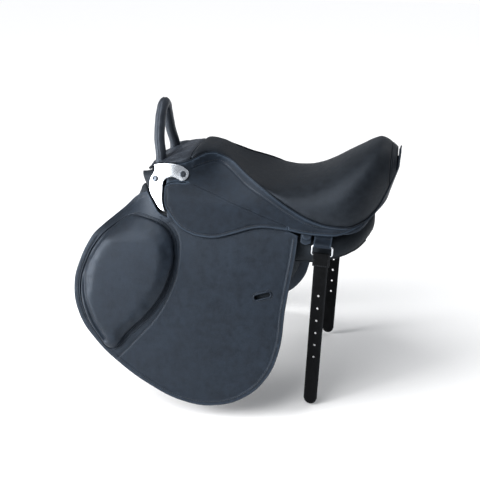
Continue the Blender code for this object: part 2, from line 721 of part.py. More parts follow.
def make_knee_pad(collection):
    """The padded knee rest on the front of the flap, in rings from its edge to its spine."""
    edge = [(p.x, p.y) for p in through([(*knot, 0.0) for knot in KNEE_PAD_OUTLINE], 2, True)]
    spine = [nearest_on_spine(u, v) for u, v in edge]
    bm = bmesh.new()

    def row(inset, top):
        made = []
        for (u, v), (su, sv) in zip(edge, spine):
            run = hypot(su - u, sv - v)
            t = min(inset / run, 0.97)
            pu, pv = u + (su - u) * t, v + (sv - v) * t
            rise = PAD_EDGE + pillow(t * run, pu, pv) if top else 0.0
            made.append(bm.verts.new(near(side(pu, pv, KNEE_PAD_O + rise))))
        return made

    rows = [row(inset, False) for inset in reversed(PAD_UNDER_RINGS)]
    rows += [row(inset, True) for inset in PAD_RINGS]
    size = len(edge)
    for lower, upper in zip(rows, rows[1:]):
        for i in range(size):
            j = (i + 1) % size
            bm.faces.new((lower[i], lower[j], upper[j], upper[i]))
    for cap in (rows[0], rows[-1]):
        bmesh.ops.triangle_fill(bm, edges=[bm.edges.get((cap[i], cap[(i + 1) % size])) for i in range(size)])
    return new_object("knee_pad_left", bm, "leather", collection)


def upright_box(u, v, o_low, o_high, length, height):
    """A block that stands off the near side at a place, square to it, as a bmesh."""
    return leaf_block(((u - length / 2, v - height / 2, True), (u + length / 2, v - height / 2, True),
                       (u + length / 2, v + height / 2, True), (u - length / 2, v + height / 2, True)),
                      o_low, o_high)


def leaf_block(outline, o_low, o_high, fine_u=False):
    """A leaf of any thickness, bent over the near side, as a bmesh."""
    thickness = o_high - o_low
    return bend(leaf_bmesh("block", [outline], thickness, fine_u), o_low, thickness)


def side_rod(u, v, o_low, o_high, radius, sides=14):
    """A rod that stands square off the near side at a place, as a bmesh."""
    return rod(near(side(u, v, o_low)), near(side(u, v, o_high)), radius, sides)


# The tree, the seat and the pommel


def arch(edge_z, crest_z, sine):
    """Height of an arch at a place: full where it rises to its crest, gentle where it dips."""
    rise = crest_z - edge_z
    power = 0.75 + 0.75 * smoothstep((0.004 - rise) / 0.008)
    return edge_z + rise * sine**power


def crown_arc(x, edge, crest_z, steps=CROWN_STEPS):
    """Points over the saddle at x, from one edge to the other through the crest."""
    points = []
    for i in range(1, steps):
        angle = pi * i / steps
        across = -cos(angle)
        y = edge.y * abs(across) ** 0.85 * (1 if across > 0 else -1)
        points.append(Vector((x, y, arch(edge.z, crest_z, sin(angle)))))
    return points


def cover_ring(x, outer, inner, crest_z, thickness):
    """Horseshoe section of a padded cover at x."""
    outer_edge = welt_at(x, outer)
    inner_edge = welt_at(x, max(inner, (x - CANTLE_SOLID_FROM) * 1.13))
    over = crown_arc(x, outer_edge, crest_z)
    room = height_over([near(outer_edge), *over, outer_edge], inner_edge.y) - COVER_EDGE_DEPTH
    inner_edge.z = min(inner_edge.z, room)
    under_crest = max(crest_z - thickness, min(inner_edge.z, crest_z - 0.002))
    solid = smoothstep((x - CANTLE_SOLID_FROM) / (SEAT_STATIONS[-1] - CANTLE_SOLID_FROM))
    under_crest += (inner_edge.z + CANTLE_BACK_DEPTH - under_crest) * solid
    under = crown_arc(x, inner_edge, under_crest)
    ring = [near(outer_edge)] + over + [outer_edge, inner_edge] + under[::-1] + [near(inner_edge)]
    for point in ring:
        point.x = x
    return ring


def make_seat(collection):
    """The padded seat, from the pommel to the cantle."""
    rings = [cover_ring(x, COVER_O, 0.0, fair(CREST, x), SEAT_FOAM) for x in SEAT_STATIONS]
    return loft("seat", rings, "seat", collection)


def make_pommel_cover(collection):
    """The padded leather over the head of the tree, in front of the seat."""
    rings = [cover_ring(x, COVER_O, 0.0, fair(CREST, x), SEAT_FOAM) for x in POMMEL_STATIONS[1:]]
    x = POMMEL_STATIONS[0]
    front = cover_ring(x, COVER_O - 0.004, 0.004, fair(CREST, x) - 0.003, SEAT_FOAM - 0.006)
    return loft("pommel_cover", [front] + rings, "seat", collection)


def tree_ring(x, o, drop, above=None):
    """One arch of the tree at x: up one side, over the crown and down the other."""
    welt = welt_at(x, o)
    lift = TREE_REAR_LIFT * smoothstep((x - TREE_LIFT_FROM) / TREE_LIFT_RUN)
    edge = side_at(x, welt.z + lift, o) if lift else welt
    if above:
        edge = side_at(x, min(edge.z, height_over(above, edge.y) - TREE_CROWN), o)
        if not lift:
            edge.y = max(edge.y, welt.y)
    foot = min(fair(TREE_LOW_Z, x), edge.z - 0.004)
    waist = foot + (edge.z - foot) * 0.30
    wall = []
    for z in (foot, waist, (waist + edge.z) / 2):
        point = side_at(x, z, o)
        wall.append(Vector((x, max(point.y, edge.y), z)))
    wall.append(edge)
    over = crown_arc(x, edge, fair(CREST, x) - drop)
    ring = [near(point) for point in wall] + over + wall[::-1]
    for point in ring:
        point.x = x
    return ring


def height_over(ring, y):
    """Height of an arch at a distance y from the centre plane."""
    for a, b in zip(ring, ring[1:]):
        if a.y <= -y <= b.y:
            return a.z + (b.z - a.z) * (-y - a.y) / max(b.y - a.y, 1e-9)
    return ring[0].z


def make_tree(collection):
    """The moulded tree: head, side walls, seat and cantle in one shell, open in the middle."""
    drop = SEAT_FOAM + TREE_DROP
    rings = []
    for x in TREE_STATIONS:
        outer = tree_ring(x, TREE_O, drop)
        inner = tree_ring(x, TREE_O - TREE_WALL, drop + TREE_CROWN, outer[3:-3])
        rings.append(outer + inner[::-1])
    tree = loft("tree", rings, "tree", collection)
    half = TREE_SLOT_WIDTH / 2
    front, rear = TREE_SLOT_FRONT_X, TREE_SLOT_REAR_X
    slot = flat_curve("slot", [((front, 0.0), (front + half, -half), (rear - half, -half),
                                (rear, 0.0), (rear - half, half), (front + half, half))], 0.3)
    cut(tree, curve_to_bmesh(slot))
    return tree


def make_seat_web(collection):
    """The webbing stretched over the opening of the tree, from the head to the cantle."""
    rings = []
    quarter = CROWN_STEPS // 3
    for x in WEB_STATIONS:
        drop = SEAT_FOAM + (TREE_DROP - WEB_THICKNESS) / 2
        over = crown_arc(x, welt_at(x, 0.0), fair(CREST, x) - drop)[quarter - 1:-quarter + 1]
        under = crown_arc(x, welt_at(x, 0.0), fair(CREST, x) - drop - WEB_THICKNESS)
        rings.append(over + under[quarter - 1:-quarter + 1][::-1])
    return loft("seat_web", rings, "webbing", collection)


# The panels


def panel_ring(x):
    """Section of the near panel at x."""
    inner = fair(GULLET_HALF_WIDTH, x)
    inner_top = fair(PANEL_INNER_TOP_Z, x)
    outer_top = fair(PANEL_OUTER_TOP_Z, x)
    inner_low = fair(PANEL_INNER_LOW_Z, x)
    outer_low = fair(PANEL_OUTER_LOW_Z, x)
    bulge = PANEL_REAR_BULGE * smoothstep((x - 0.045) / 0.03)
    flat_x = min(max(x, PANEL_FRONT_BEND_X), PANEL_REAR_BEND_X)
    reach = PANEL_FRONT_BEND_RUN if x < flat_x else PANEL_REAR_BEND_RUN
    taper = (1.0 - ((x - flat_x) / reach) ** 2) ** PANEL_END_ROUNDNESS

    def outside(z, o):
        return inner + (side_at(flat_x, z, o).y - inner) * taper

    middle_z = (outer_top + outer_low) / 2
    low_y = outside(outer_low, -0.010)
    points = [
        (inner, inner_top),
        (inner + (outside(outer_top, -0.012) - inner) * 0.62, outer_top + (inner_top - outer_top) * 0.45),
        (outside(outer_top, -0.004) - 0.004, outer_top), (outside(middle_z, bulge - CLEARANCE), middle_z),
        (low_y, outer_low),
        (low_y + (inner - low_y) * 0.35, outer_low + (inner_low - outer_low) * 0.35 - PANEL_CROWN),
        (low_y + (inner - low_y) * 0.70, outer_low + (inner_low - outer_low) * 0.70 - PANEL_CROWN),
        (inner + 0.002, inner_low + 0.001), (inner - 0.002, (inner_low + inner_top) / 2),
    ]
    return [Vector((x, -y, z)) for y, z, _ in through([(*p, 0.0) for p in points], 2, True)]


def make_panel(collection):
    """The flocked cushion that lies beside the horse's spine."""
    return loft("panel_left", [panel_ring(x) for x in PANEL_STATIONS], "panel", collection)


# The metal


def make_head_plate(collection):
    """The polished plate that clamps the foot of the handle, skirt and flap to the head."""
    return leather("head_plate_left", [HEAD_PLATE_OUTLINE], HEAD_PLATE_O, HEAD_PLATE_THICKNESS,
                   collection, "steel")


def outward(u, v, o):
    """A place on the near side and the direction square to the surface there."""
    step = 0.002
    run = side(u + step, v, o) - side(u - step, v, o)
    fall = side(u, v + step, o) - side(u, v - step, o)
    normal = near(run.cross(fall)).normalized()
    return near(side(u, v, o)), normal if normal.y < 0 else -normal


def make_bolt(name, place, collection):
    """A button-head bolt with a hexagon socket, through the plate into the tree."""
    seat, out = outward(*place, HEAD_PLATE_O + HEAD_PLATE_THICKNESS)
    base = seat + out * BOLT_SEATING
    crown = base + out * BOLT_HEAD_HEIGHT
    foot = seat - out * (HEAD_PLATE_O + HEAD_PLATE_THICKNESS + BOLT_GRIP)
    obj = new_object(name, rod(base, crown, BOLT_HEAD_RADIUS, 16), "steel", collection)
    cut(obj, rod(foot, base + out * BOLT_HEAD_HEIGHT * 0.3, BOLT_RADIUS, 12), "UNION")
    cut(obj, rod(base + out * BOLT_HEAD_HEIGHT * 0.45, crown + out * 0.002, BOLT_SOCKET_RADIUS, 6))
    return obj


def bore_for_bolts(pieces):
    """Bore each piece where a bolt passes."""
    for place, names in pieces.items():
        seat, out = outward(*place, HEAD_PLATE_O + HEAD_PLATE_THICKNESS)
        foot = seat - out * (HEAD_PLATE_O + HEAD_PLATE_THICKNESS + BOLT_GRIP + CLEARANCE)
        for piece in names:
            cut(piece, rod(foot, seat + out * 0.01, BOLT_RADIUS + CLEARANCE, 12))


def handle_points(steps):
    """The middle line of the handle, from the near foot to the off foot."""
    half = [Vector((HANDLE_X + dx, -y, z)) for y, z, dx in HANDLE_ROUTE]
    apex = Vector((HANDLE_X - 0.003, 0.0, HANDLE_APEX_Z))
    route = half + [apex] + [Vector((p.x, -p.y, p.z)) for p in reversed(half)]
    return through(route, steps)


def make_handle(collection, drilled):
    """The steel rod of the handle, its padded grip and the nuts under the tree."""
    line = handle_points(2)
    foot = Vector((line[0].x, line[0].y, HANDLE_ROD_END_Z))
    other = Vector((foot.x, -foot.y, foot.z))
    new_object("handle_rod", tube("handle_rod", [foot] + line + [other], HANDLE_ROD_RADIUS, 2),
               "steel", collection)
    fine = [p for p in handle_points(2) if p.z > HANDLE_GRIP_FOOT_Z + 0.004]
    start = Vector((fine[0].x, fine[0].y - 0.0004, HANDLE_GRIP_FOOT_Z))
    fine = [start] + fine + [Vector((start.x, -start.y, start.z))]
    grip = new_object("handle_grip", tube("handle_grip", fine, HANDLE_GRIP_RADIUS, 3), "leather",
                      collection)
    bore = tube("bore", [foot] + line + [other], HANDLE_ROD_RADIUS + CLEARANCE, 2)
    cut(grip, bore)
    for piece in drilled:
        cut(piece, tube("bore", [foot] + line + [other], HANDLE_ROD_RADIUS + CLEARANCE * 2, 2))
    for end in (fine[:4], fine[:-5:-1]):
        lowest = end[0] - Vector((0.0, 0.0, 0.003))
        cut(drilled[0], tube("seating", [lowest, *end], HANDLE_GRIP_RADIUS + CLEARANCE * 2, 3))
    nut_top = tree_underside_z() - CLEARANCE
    for name, end in (("handle_nut_left", foot), ("handle_nut_right", other)):
        base = Vector((end.x, end.y, nut_top - HANDLE_NUT_HEIGHT))
        nut = new_object(name, rod(base, Vector((end.x, end.y, nut_top)), HANDLE_NUT_RADIUS, 6),
                         "steel", collection)
        cut(nut, rod(base - Vector((0, 0, 0.01)), base + Vector((0, 0, 0.02)),
                     HANDLE_ROD_RADIUS + CLEARANCE / 2, 12))


def tree_underside_z():
    """Lowest height of the underside of the tree's head over the handle's nuts."""
    heights = []
    for x in TREE_STATIONS[:2]:
        drop = SEAT_FOAM + TREE_DROP
        outer = tree_ring(x, TREE_O, drop)
        inner = tree_ring(x, TREE_O - TREE_WALL, drop + TREE_CROWN, outer[3:-3])
        for side_step in (-1, 0, 1):
            y = HANDLE_ROUTE[0][0] + HANDLE_NUT_RADIUS * side_step
            heights.append(height_over(inner[3:-3], y))
    return min(heights)


def make_stirrup_bar(collection, tree):
    """The recessed stirrup bar: a plate behind the tree's wall and a hooked bar through it."""
    length = BAR_REAR_U - BAR_FRONT_U
    middle = (BAR_FRONT_U + BAR_REAR_U) / 2
    window = upright_box(middle, BAR_V, -0.015, 0.005, length + 2 * BAR_WINDOW_MARGIN, BAR_WINDOW_HEIGHT)
    cut(tree, window)
    back = TREE_O - TREE_WALL - CLEARANCE
    plate_length = length + 2 * BAR_WINDOW_MARGIN + 2 * BAR_PLATE_LAP
    plate = upright_box(middle, BAR_V, back - BAR_PLATE_THICKNESS, back, plate_length, BAR_PLATE_HEIGHT)
    bar = new_object("stirrup_bar_left", plate, "steel", collection)
    route = [(BAR_FRONT_U, back - BAR_PLATE_THICKNESS * 0.6), (BAR_FRONT_U, BAR_CENTRE_O - 0.004),
             (BAR_FRONT_U + 0.004, BAR_CENTRE_O), (BAR_REAR_U, BAR_CENTRE_O)]
    hook = tube("hook", [near(side(u, BAR_V, o)) for u, o in route], BAR_RADIUS, 2)
    cut(bar, hook, "UNION")
    rivets = []
    for u in (middle - plate_length / 2 + BAR_PLATE_LAP / 2, middle + plate_length / 2 - BAR_PLATE_LAP / 2):
        cutter = side_rod(u, BAR_V, back - 0.01, 0.01, RIVET_RADIUS + CLEARANCE, 12)
        cut(bar, cutter)
        cut(tree, side_rod(u, BAR_V, back - 0.01, 0.01, RIVET_RADIUS + CLEARANCE, 12))
        rivets.append(u)
    return bar, rivets, back


def make_rivets(collection, rivets, back):
    """The rivets that hold the stirrup bar's plate to the tree."""
    for name, u in zip(("bar_rivet_front_left", "bar_rivet_rear_left"), rivets):
        low = back - BAR_PLATE_THICKNESS - CLEARANCE
        rivet = new_object(name, side_rod(u, BAR_V, low - 0.0007, 0.0, RIVET_RADIUS, 12), "steel", collection)
        cut(rivet, side_rod(u, BAR_V, low - 0.0015, low, RIVET_RADIUS * 1.7, 12), "UNION")


def catch_frame():
    """Pivot and directions of the near safety catch: along the bar, up it and out from it."""
    pivot = near(side(BAR_REAR_U, BAR_V, BAR_CENTRE_O))
    along = (near(side(BAR_REAR_U + 0.01, BAR_V, BAR_CENTRE_O)) - pivot).normalized()
    out = (near(side(BAR_REAR_U, BAR_V, BAR_CENTRE_O + 0.01)) - pivot).normalized()
    along = (along - out * along.dot(out)).normalized()
    up = along.cross(-out).normalized()
    if up.z < 0:
        up = -up
    return pivot, along, up, out


def make_catch(collection, bar):
    """The safety catch at the rear end of the bar, lying open in line with it."""
    pivot, along, up, out = catch_frame()
    pin_place = pivot + along * CATCH_PIN_REACH
    slot_half = CATCH_THICKNESS / 2 + CLEARANCE
    end = rod(pivot - along * 0.001, pin_place + along * 0.004, BAR_RADIUS, 10)
    cut(bar, end, "UNION")
    frame = Matrix((along, up, out)).transposed().to_4x4()
    gap = bmesh.new()
    size = Matrix.Diagonal((0.024, 0.024, slot_half * 2, 1.0))
    place = Matrix.Translation(pin_place + along * 0.0065) @ frame
    bmesh.ops.create_cube(gap, size=1.0, matrix=place @ size)
    cut(bar, gap)
    outline = []
    eye = CATCH_WIDTH / 2 - 0.0004
    for i in range(7):
        angle = pi / 2 + pi * i / 6
        outline.append((eye * cos(angle), eye * sin(angle), True))
    outline += [(CATCH_LENGTH * 0.5, -eye * 0.8, True), (CATCH_LENGTH, -eye * 0.7, True),
                (CATCH_LENGTH + 0.0015, 0.0, True), (CATCH_LENGTH, eye * 0.9, True),
                (CATCH_LENGTH * 0.5, eye * 0.8, True)]
    body = curve_to_bmesh(flat_curve("catch", [outline], CATCH_THICKNESS, 1))
    bmesh.ops.transform(body, matrix=Matrix.Translation(pin_place) @ frame, verts=body.verts)
    catch = new_object("bar_catch_left", body, "steel", collection)
    pin_low = pin_place - out * (BAR_RADIUS + 0.0002)
    pin_high = pin_place + out * (BAR_RADIUS + 0.0002)
    bore = CATCH_PIN_RADIUS + CLEARANCE / 2
    cut(catch, rod(pin_low - out * 0.01, pin_high + out * 0.01, bore, 10))
    cut(bar, rod(pin_low - out * 0.01, pin_high + out * 0.01, bore, 10))
    new_object("catch_pin_left", rod(pin_low, pin_high, CATCH_PIN_RADIUS, 10), "steel", collection)
    return catch


# The straps


def strap_frame():
    """Directions of the hanging strap: across it and down it."""
    down = Vector((-sin(STRAP_LEAN), 0.0, -cos(STRAP_LEAN)))
    across = Vector((cos(STRAP_LEAN), 0.0, -sin(STRAP_LEAN)))
    return across, down


def ring_bars():
    """Middle of the ring's top bar and of its bottom bar, on the near side."""
    _, down = strap_frame()
    top = Vector((RING_X, -RING_TOP_Y, RING_TOP_Z))
    return top, top + down * (RING_HEIGHT - 2 * RING_WIRE_RADIUS)


def make_girth_ring(collection):
    """The square metal ring that carries the rear girth strap."""
    across, down = strap_frame()
    top, bottom = ring_bars()
    half = RING_WIDTH / 2 - RING_WIRE_RADIUS
    height = (bottom - top).length
    line = []
    corners = ((half, 0.0, -90.0), (half, height, 0.0), (-half, height, 90.0), (-half, 0.0, 180.0))
    for x, y, start in corners:
        cx = x - RING_CORNER * (1 if x > 0 else -1)
        cy = y + RING_CORNER * (1 if y == 0.0 else -1)
        for i in range(4):
            angle = radians(start + 30.0 * i)
            line.append(top + across * (cx + RING_CORNER * cos(angle))
                        + down * (cy + RING_CORNER * sin(angle)))
    return new_object("girth_ring_left", tube("ring", line, RING_WIRE_RADIUS, 1, True), "steel", collection)


def eye_profile(run, thickness, radius, lean, steps=10):
    """Outline of a leather eye with a tail: the eye's middle at the origin, the tail along +y."""
    outer = radius + thickness
    half = atan2(thickness / 2, outer)
    outline = []
    for i in range(steps + 1):
        angle = pi / 2 + half + (2 * pi - 2 * half) * i / steps
        outline.append((outer * cos(angle), outer * sin(angle), True))
    outline += [(thickness / 2 + run * lean, run, True), (-thickness / 2 + run * lean, run, True)]
    hole = [(radius * cos(2 * pi * i / steps), radius * sin(2 * pi * i / steps), True)
            for i in range(steps)]
    return [outline, hole]


def swept(profile, width, origin, along_y, facing, across):
    """A flat profile with a width, its own x along facing and its own y along along_y."""
    bm = curve_to_bmesh(flat_curve("profile", profile, width, 1))
    frame = Matrix((facing, along_y, across)).transposed().to_4x4()
    bmesh.ops.transform(bm, matrix=Matrix.Translation(origin) @ frame, verts=bm.verts)
    return bm


def make_chape(collection):
    """The leather chape that holds the ring under the edge of the skirt's band."""
    across, _ = strap_frame()
    top, _ = ring_bars()
    lean = Vector((0.0, sin(UPPER_LEAN), cos(UPPER_LEAN)))
    facing = lean.cross(across).normalized()
    profile = eye_profile(CHAPE_RUN, CHAPE_THICKNESS, RING_WIRE_RADIUS + EYE_CLEARANCE, 0.0)
    bm = swept(profile, CHAPE_WIDTH, top, lean, facing, across)
    return new_object("ring_chape_left", bm, "leather", collection)


def make_strap_loop(collection):
    """The stitched loop that joins the rear strap to the ring."""
    across, down = strap_frame()
    _, bottom = ring_bars()
    facing = Vector((0.0, -1.0, 0.0))
    thickness = GIRTH_STRAP_THICKNESS + 2 * LOOP_PLY
    profile = eye_profile(LOOP_LENGTH, thickness, RING_WIRE_RADIUS + EYE_CLEARANCE, 0.0)
    outer = RING_WIRE_RADIUS + EYE_CLEARANCE + LOOP_PLY
    ring = profile[1]
    half = atan2(thickness / 2, outer)
    outline = []
    steps = 10
    for i in range(steps + 1):
        angle = pi / 2 + half + (2 * pi - 2 * half) * i / steps
        outline.append((outer * cos(angle), outer * sin(angle), True))
    outline += [(thickness / 2, LOOP_LENGTH, True), (-thickness / 2, LOOP_LENGTH, True)]
    bm = swept([outline, ring], LOOP_WIDTH, bottom, down, facing, across)
    loop = new_object("strap_loop_left", bm, "leather", collection)
    pocket = bmesh.new()
    frame = Matrix((across, facing, down)).transposed().to_4x4()
    size = Matrix.Diagonal((STRAP_WIDTH + 2 * CLEARANCE, STRAP_TENON_THICKNESS + 2 * CLEARANCE,
                            2 * STRAP_TENON, 1.0))
    place = Matrix.Translation(bottom + down * LOOP_LENGTH) @ frame
    bmesh.ops.create_cube(pocket, size=1.0, matrix=place @ size)
    cut(loop, pocket)
    return loop


def make_rear_strap(collection):
    """The punched rear girth strap."""
    across, down = strap_frame()
    _, bottom = ring_bars()
    facing = Vector((0.0, -1.0, 0.0))
    start = LOOP_LENGTH - STRAP_TENON + CLEARANCE
    half = STRAP_WIDTH / 2
    end = start + STRAP_LENGTH
    outline = [(-half, start, True), (half, start, True), (half, end - half, True),
               (half * 0.72, end - half * 0.35, True), (0.0, end, True),
               (-half * 0.72, end - half * 0.35, True), (-half, end - half, True)]
    bm = curve_to_bmesh(flat_curve("strap", [outline], GIRTH_STRAP_THICKNESS, 1))
    frame = Matrix((across, down, facing)).transposed().to_4x4()
    bmesh.ops.transform(bm, matrix=Matrix.Translation(bottom) @ frame, verts=bm.verts)
    strap = new_object("rear_girth_strap_left", bm, "leather", collection)
    skived = LOOP_LENGTH + CLEARANCE - start + 0.002
    size = Matrix.Diagonal((STRAP_WIDTH * 1.5, skived, GIRTH_STRAP_THICKNESS, 1.0))
    for way in (-1, 1):
        off = facing * way * (STRAP_TENON_THICKNESS + GIRTH_STRAP_THICKNESS) / 2
        place = Matrix.Translation(bottom + down * (start - 0.002 + skived / 2) + off) @ frame
        shaving = bmesh.new()
        bmesh.ops.create_cube(shaving, size=1.0, matrix=place @ size)
        cut(strap, shaving)
    for i in range(STRAP_HOLES):
        middle = bottom + down * (start + STRAP_FIRST_HOLE + STRAP_HOLE_PITCH * i)
        cut(strap, rod(middle - facing * 0.01, middle + facing * 0.01, STRAP_HOLE_RADIUS, 8))
    return strap


def strap_outline():
    """Outline of the front girth strap on the side."""
    half = STRAP_WIDTH / 2
    left, right = FRONT_STRAP_U - half, FRONT_STRAP_U + half
    end = FRONT_STRAP_END_V
    return [(left, FRONT_STRAP_TOP_V, True), (right, FRONT_STRAP_TOP_V, True), (right, end - half, True),
            (FRONT_STRAP_U + half * 0.72, end - half * 0.35, True), (FRONT_STRAP_U, end, True),
            (FRONT_STRAP_U - half * 0.72, end - half * 0.35, True), (left, end - half, True)]


# The skirts


def skirt_outline():
    """Outline of the moving lobe of the skirt, below the fold."""
    return [*SKIRT_HEAD_EDGE, *SKIRT_EDGE,
            (SKIRT_REAR_U, SKIRT_EDGE[-1][1] + 0.0015, True),
            (SKIRT_REAR_U, fold_v(SKIRT_REAR_U) + FOLD_GAP, True)]


def band_outline():
    """Outline of the skirt's fixed upper part and the band that runs round to the cantle."""
    top = []
    for x in (-0.1915, *SEAT_STATIONS):
        u = run_at(x, COVER_O)
        top.append((u, fair(WELT, u) + BAND_GAP, True))
    top.append((0.2600, fair(WELT, 0.2600) + BAND_GAP, True))
    rear_top = (BAND_REAR_U, fair(WELT, BAND_REAR_U) + BAND_GAP, True)
    front_top = (SKIRT_FRONT_U, fair(WELT, SKIRT_FRONT_U) + BAND_GAP, True)
    fold_end = SKIRT_REAR_U + 0.010
    return [front_top, *top, rear_top, (BAND_REAR_U, BAND_REAR_V, True), *reversed(BAND_EDGE),
            (fold_end, fold_v(fold_end) + 0.0035, True), (SKIRT_REAR_U + 0.0012, fold_v(fold_end), True),
            (SKIRT_REAR_U, fold_v(SKIRT_REAR_U) - FOLD_GAP / 2, True),
            (-0.1660, fold_v(-0.1660) - FOLD_GAP / 2, True), *BAND_HEAD_EDGE]


def make_flap(collection):
    """The flap, with its keeper slot cut through."""
    flap = leather("flap_left", [FLAP_OUTLINE], FLAP_O, FLAP_THICKNESS, collection)
    half = KEEPER_LENGTH / 2 - KEEPER_WIDTH / 2
    outline = []
    for end, start in ((1, -90.0), (-1, 90.0)):
        for i in range(5):
            angle = radians(start + 45.0 * i)
            a = end * half + KEEPER_WIDTH / 2 * cos(angle)
            b = KEEPER_WIDTH / 2 * sin(angle)
            outline.append((KEEPER_U + a * cos(KEEPER_TILT) - b * sin(KEEPER_TILT),
                            KEEPER_V + a * sin(KEEPER_TILT) + b * cos(KEEPER_TILT), True))
    cut(flap, leaf_block(outline, FLAP_O - 0.004, FLAP_O + FLAP_THICKNESS + 0.004))
    return flap


def build():
    """Build the whole saddle."""
    parts = bpy.data.collections.new("saddle")
    bpy.context.scene.collection.children.link(parts)
    bpy.context.scene.collection.children.link(CUTTERS)

    tree = make_tree(parts)
    make_seat(parts)
    pommel = make_pommel_cover(parts)
    make_seat_web(parts)
    bar, rivets, back = make_stirrup_bar(parts, tree)
    make_rivets(parts, rivets, back)
    make_catch(parts, bar)

    head_pad = new_object("head_pad_left", leaf_block(HEAD_PAD_OUTLINE, CLEARANCE, COVER_O),
                          "seat", parts)
    plate = make_head_plate(parts)
    band = leather("skirt_band_left", [band_outline()], SKIRT_O, SKIRT_THICKNESS, parts,
                   fine_u=True)
    leather("skirt_left", [skirt_outline()], SKIRT_O, SKIRT_THICKNESS, parts)
    make_flap(parts)
    make_knee_pad(parts)
    leather("sweat_flap_left", [SWEAT_FLAP_OUTLINE], SWEAT_FLAP_O, SWEAT_FLAP_THICKNESS, parts)
    leather("front_girth_strap_left", [strap_outline()], FRONT_STRAP_O, GIRTH_STRAP_THICKNESS, parts)
    make_panel(parts)
    bore_for_bolts({FRONT_BOLT: (plate, head_pad, tree), REAR_BOLT: (plate, band, tree)})
    make_bolt("plate_bolt_front_left", FRONT_BOLT, parts)
    make_bolt("plate_bolt_rear_left", REAR_BOLT, parts)
    make_girth_ring(parts)
    make_chape(parts)
    make_strap_loop(parts)
    make_rear_strap(parts)

    for obj in list(parts.objects):
        if obj.name.endswith("_left"):
            triangulate(obj)
            mirrored(obj, obj.name.replace("_left", "_right"), parts)
    mirror_cuts(tree)
    make_handle(parts, (pommel, tree))
    hang_moving_pieces(parts)


def hang_moving_pieces(collection):
    """Parent each moving piece to an empty on its joint."""
    fold = near(side(FOLD_FRONT[0], FOLD_FRONT[1], COVER_O + FOLD_RISE))
    pivot, along, _, _ = catch_frame()
    top, bottom = ring_bars()
    groups = (
        ("flap_fold", fold, ("flap", "knee_pad")), ("skirt_fold", fold, ("skirt",)),
        ("catch_pivot", pivot + along * CATCH_PIN_REACH, ("bar_catch",)),
        ("ring_pivot", top, ("girth_ring",)),
        ("strap_pivot", bottom, ("strap_loop", "rear_girth_strap")),
    )
    for joint, place, pieces in groups:
        for flank, mirror in (("left", 1.0), ("right", -1.0)):
            at = Vector((place.x, place.y * mirror, place.z))
            empty = bpy.data.objects.new(f"{joint}_{flank}", None)
            empty.empty_display_size = 0.02
            empty.location = at
            collection.objects.link(empty)
            for piece in pieces:
                obj = bpy.data.objects[f"{piece}_{flank}"]
                obj.parent = empty
                obj.matrix_parent_inverse = Matrix.Translation(-at)


def mirror_cuts(tree):
    """Give the off side of the tree the near side's cuts."""
    bm = bmesh.new()
    bm.from_mesh(tree.data)
    everything = bm.verts[:] + bm.edges[:] + bm.faces[:]
    bmesh.ops.bisect_plane(bm, geom=everything, dist=MERGE, plane_co=(0, 0, 0), plane_no=(0, 1, 0),
                           clear_outer=True)
    bmesh.ops.mirror(bm, geom=bm.verts[:] + bm.edges[:] + bm.faces[:], axis="Y", merge_dist=MERGE)
    bmesh.ops.recalc_face_normals(bm, faces=bm.faces)
    bm.to_mesh(tree.data)
    bm.free()


CUTTERS = bpy.data.collections.new("cutters")
clear_scene()
build()
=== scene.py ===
"""A jumping saddle with a padded grab handle, dressed in leather, thread and metal.

The sheets of leather on the flanks are cut flat and bent over one surface, the side. A place on
it is given by u, the run along the saddle, v, the depth down the side, and o, the height off it.
Metres, +X back to the cantle, -Y the near side, +Z up.
"""
import sys
import logging
from collections.abc import Callable, Iterator, Sequence
from contextlib import contextmanager
from dataclasses import dataclass
from enum import Enum
from math import cos, pi, radians, sin

import bpy
import numpy as np
from mathutils import Matrix, Vector


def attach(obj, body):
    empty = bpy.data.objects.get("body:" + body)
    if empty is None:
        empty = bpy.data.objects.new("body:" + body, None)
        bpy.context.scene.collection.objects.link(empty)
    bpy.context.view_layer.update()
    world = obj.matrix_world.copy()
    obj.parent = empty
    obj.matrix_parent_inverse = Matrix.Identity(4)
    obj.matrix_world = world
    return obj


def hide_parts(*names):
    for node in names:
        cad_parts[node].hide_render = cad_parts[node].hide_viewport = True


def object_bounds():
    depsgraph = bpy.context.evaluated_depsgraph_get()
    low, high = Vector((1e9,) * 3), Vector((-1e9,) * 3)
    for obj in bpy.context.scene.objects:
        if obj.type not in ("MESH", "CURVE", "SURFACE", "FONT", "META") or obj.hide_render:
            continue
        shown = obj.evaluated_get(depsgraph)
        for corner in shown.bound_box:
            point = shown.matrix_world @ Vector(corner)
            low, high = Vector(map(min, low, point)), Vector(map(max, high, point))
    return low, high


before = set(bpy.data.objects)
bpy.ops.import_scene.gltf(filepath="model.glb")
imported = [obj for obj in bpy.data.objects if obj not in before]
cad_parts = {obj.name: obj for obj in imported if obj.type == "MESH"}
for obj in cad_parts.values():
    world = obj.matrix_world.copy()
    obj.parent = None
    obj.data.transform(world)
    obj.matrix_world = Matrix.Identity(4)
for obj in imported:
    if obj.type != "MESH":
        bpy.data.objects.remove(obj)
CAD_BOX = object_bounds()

Array = np.ndarray
Knots = Sequence[tuple]
Place = Callable[[Array, Array, Array], Array]
Relief = Callable[[Array, Array], Array]
Tree = bpy.types.NodeTree
Socket = bpy.types.NodeSocket

LOG = logging.getLogger("saddle")
CLEARANCE = 0.0004
MERGE = 0.000005
CUSHION_FRAMES = 20
FLIP_Y = np.array((1.0, -1.0, 1.0))
# How far in, and how strongly, the leather's edges are painted paler: burnished wear and a painted highlight
RIM_FADE, RIM_SHARE = 0.0016, 0.8


# Finishes


class Slot(Enum):
    """Material slots of the record; the pieces here take their finishes directly, not from these."""

    LEATHER = "leather"
    SEAT = "seat_leather"
    PANEL = "panel_leather"
    STRAP = "strap_leather"
    STEEL = "steel"
    PLATE = "polished_plate"


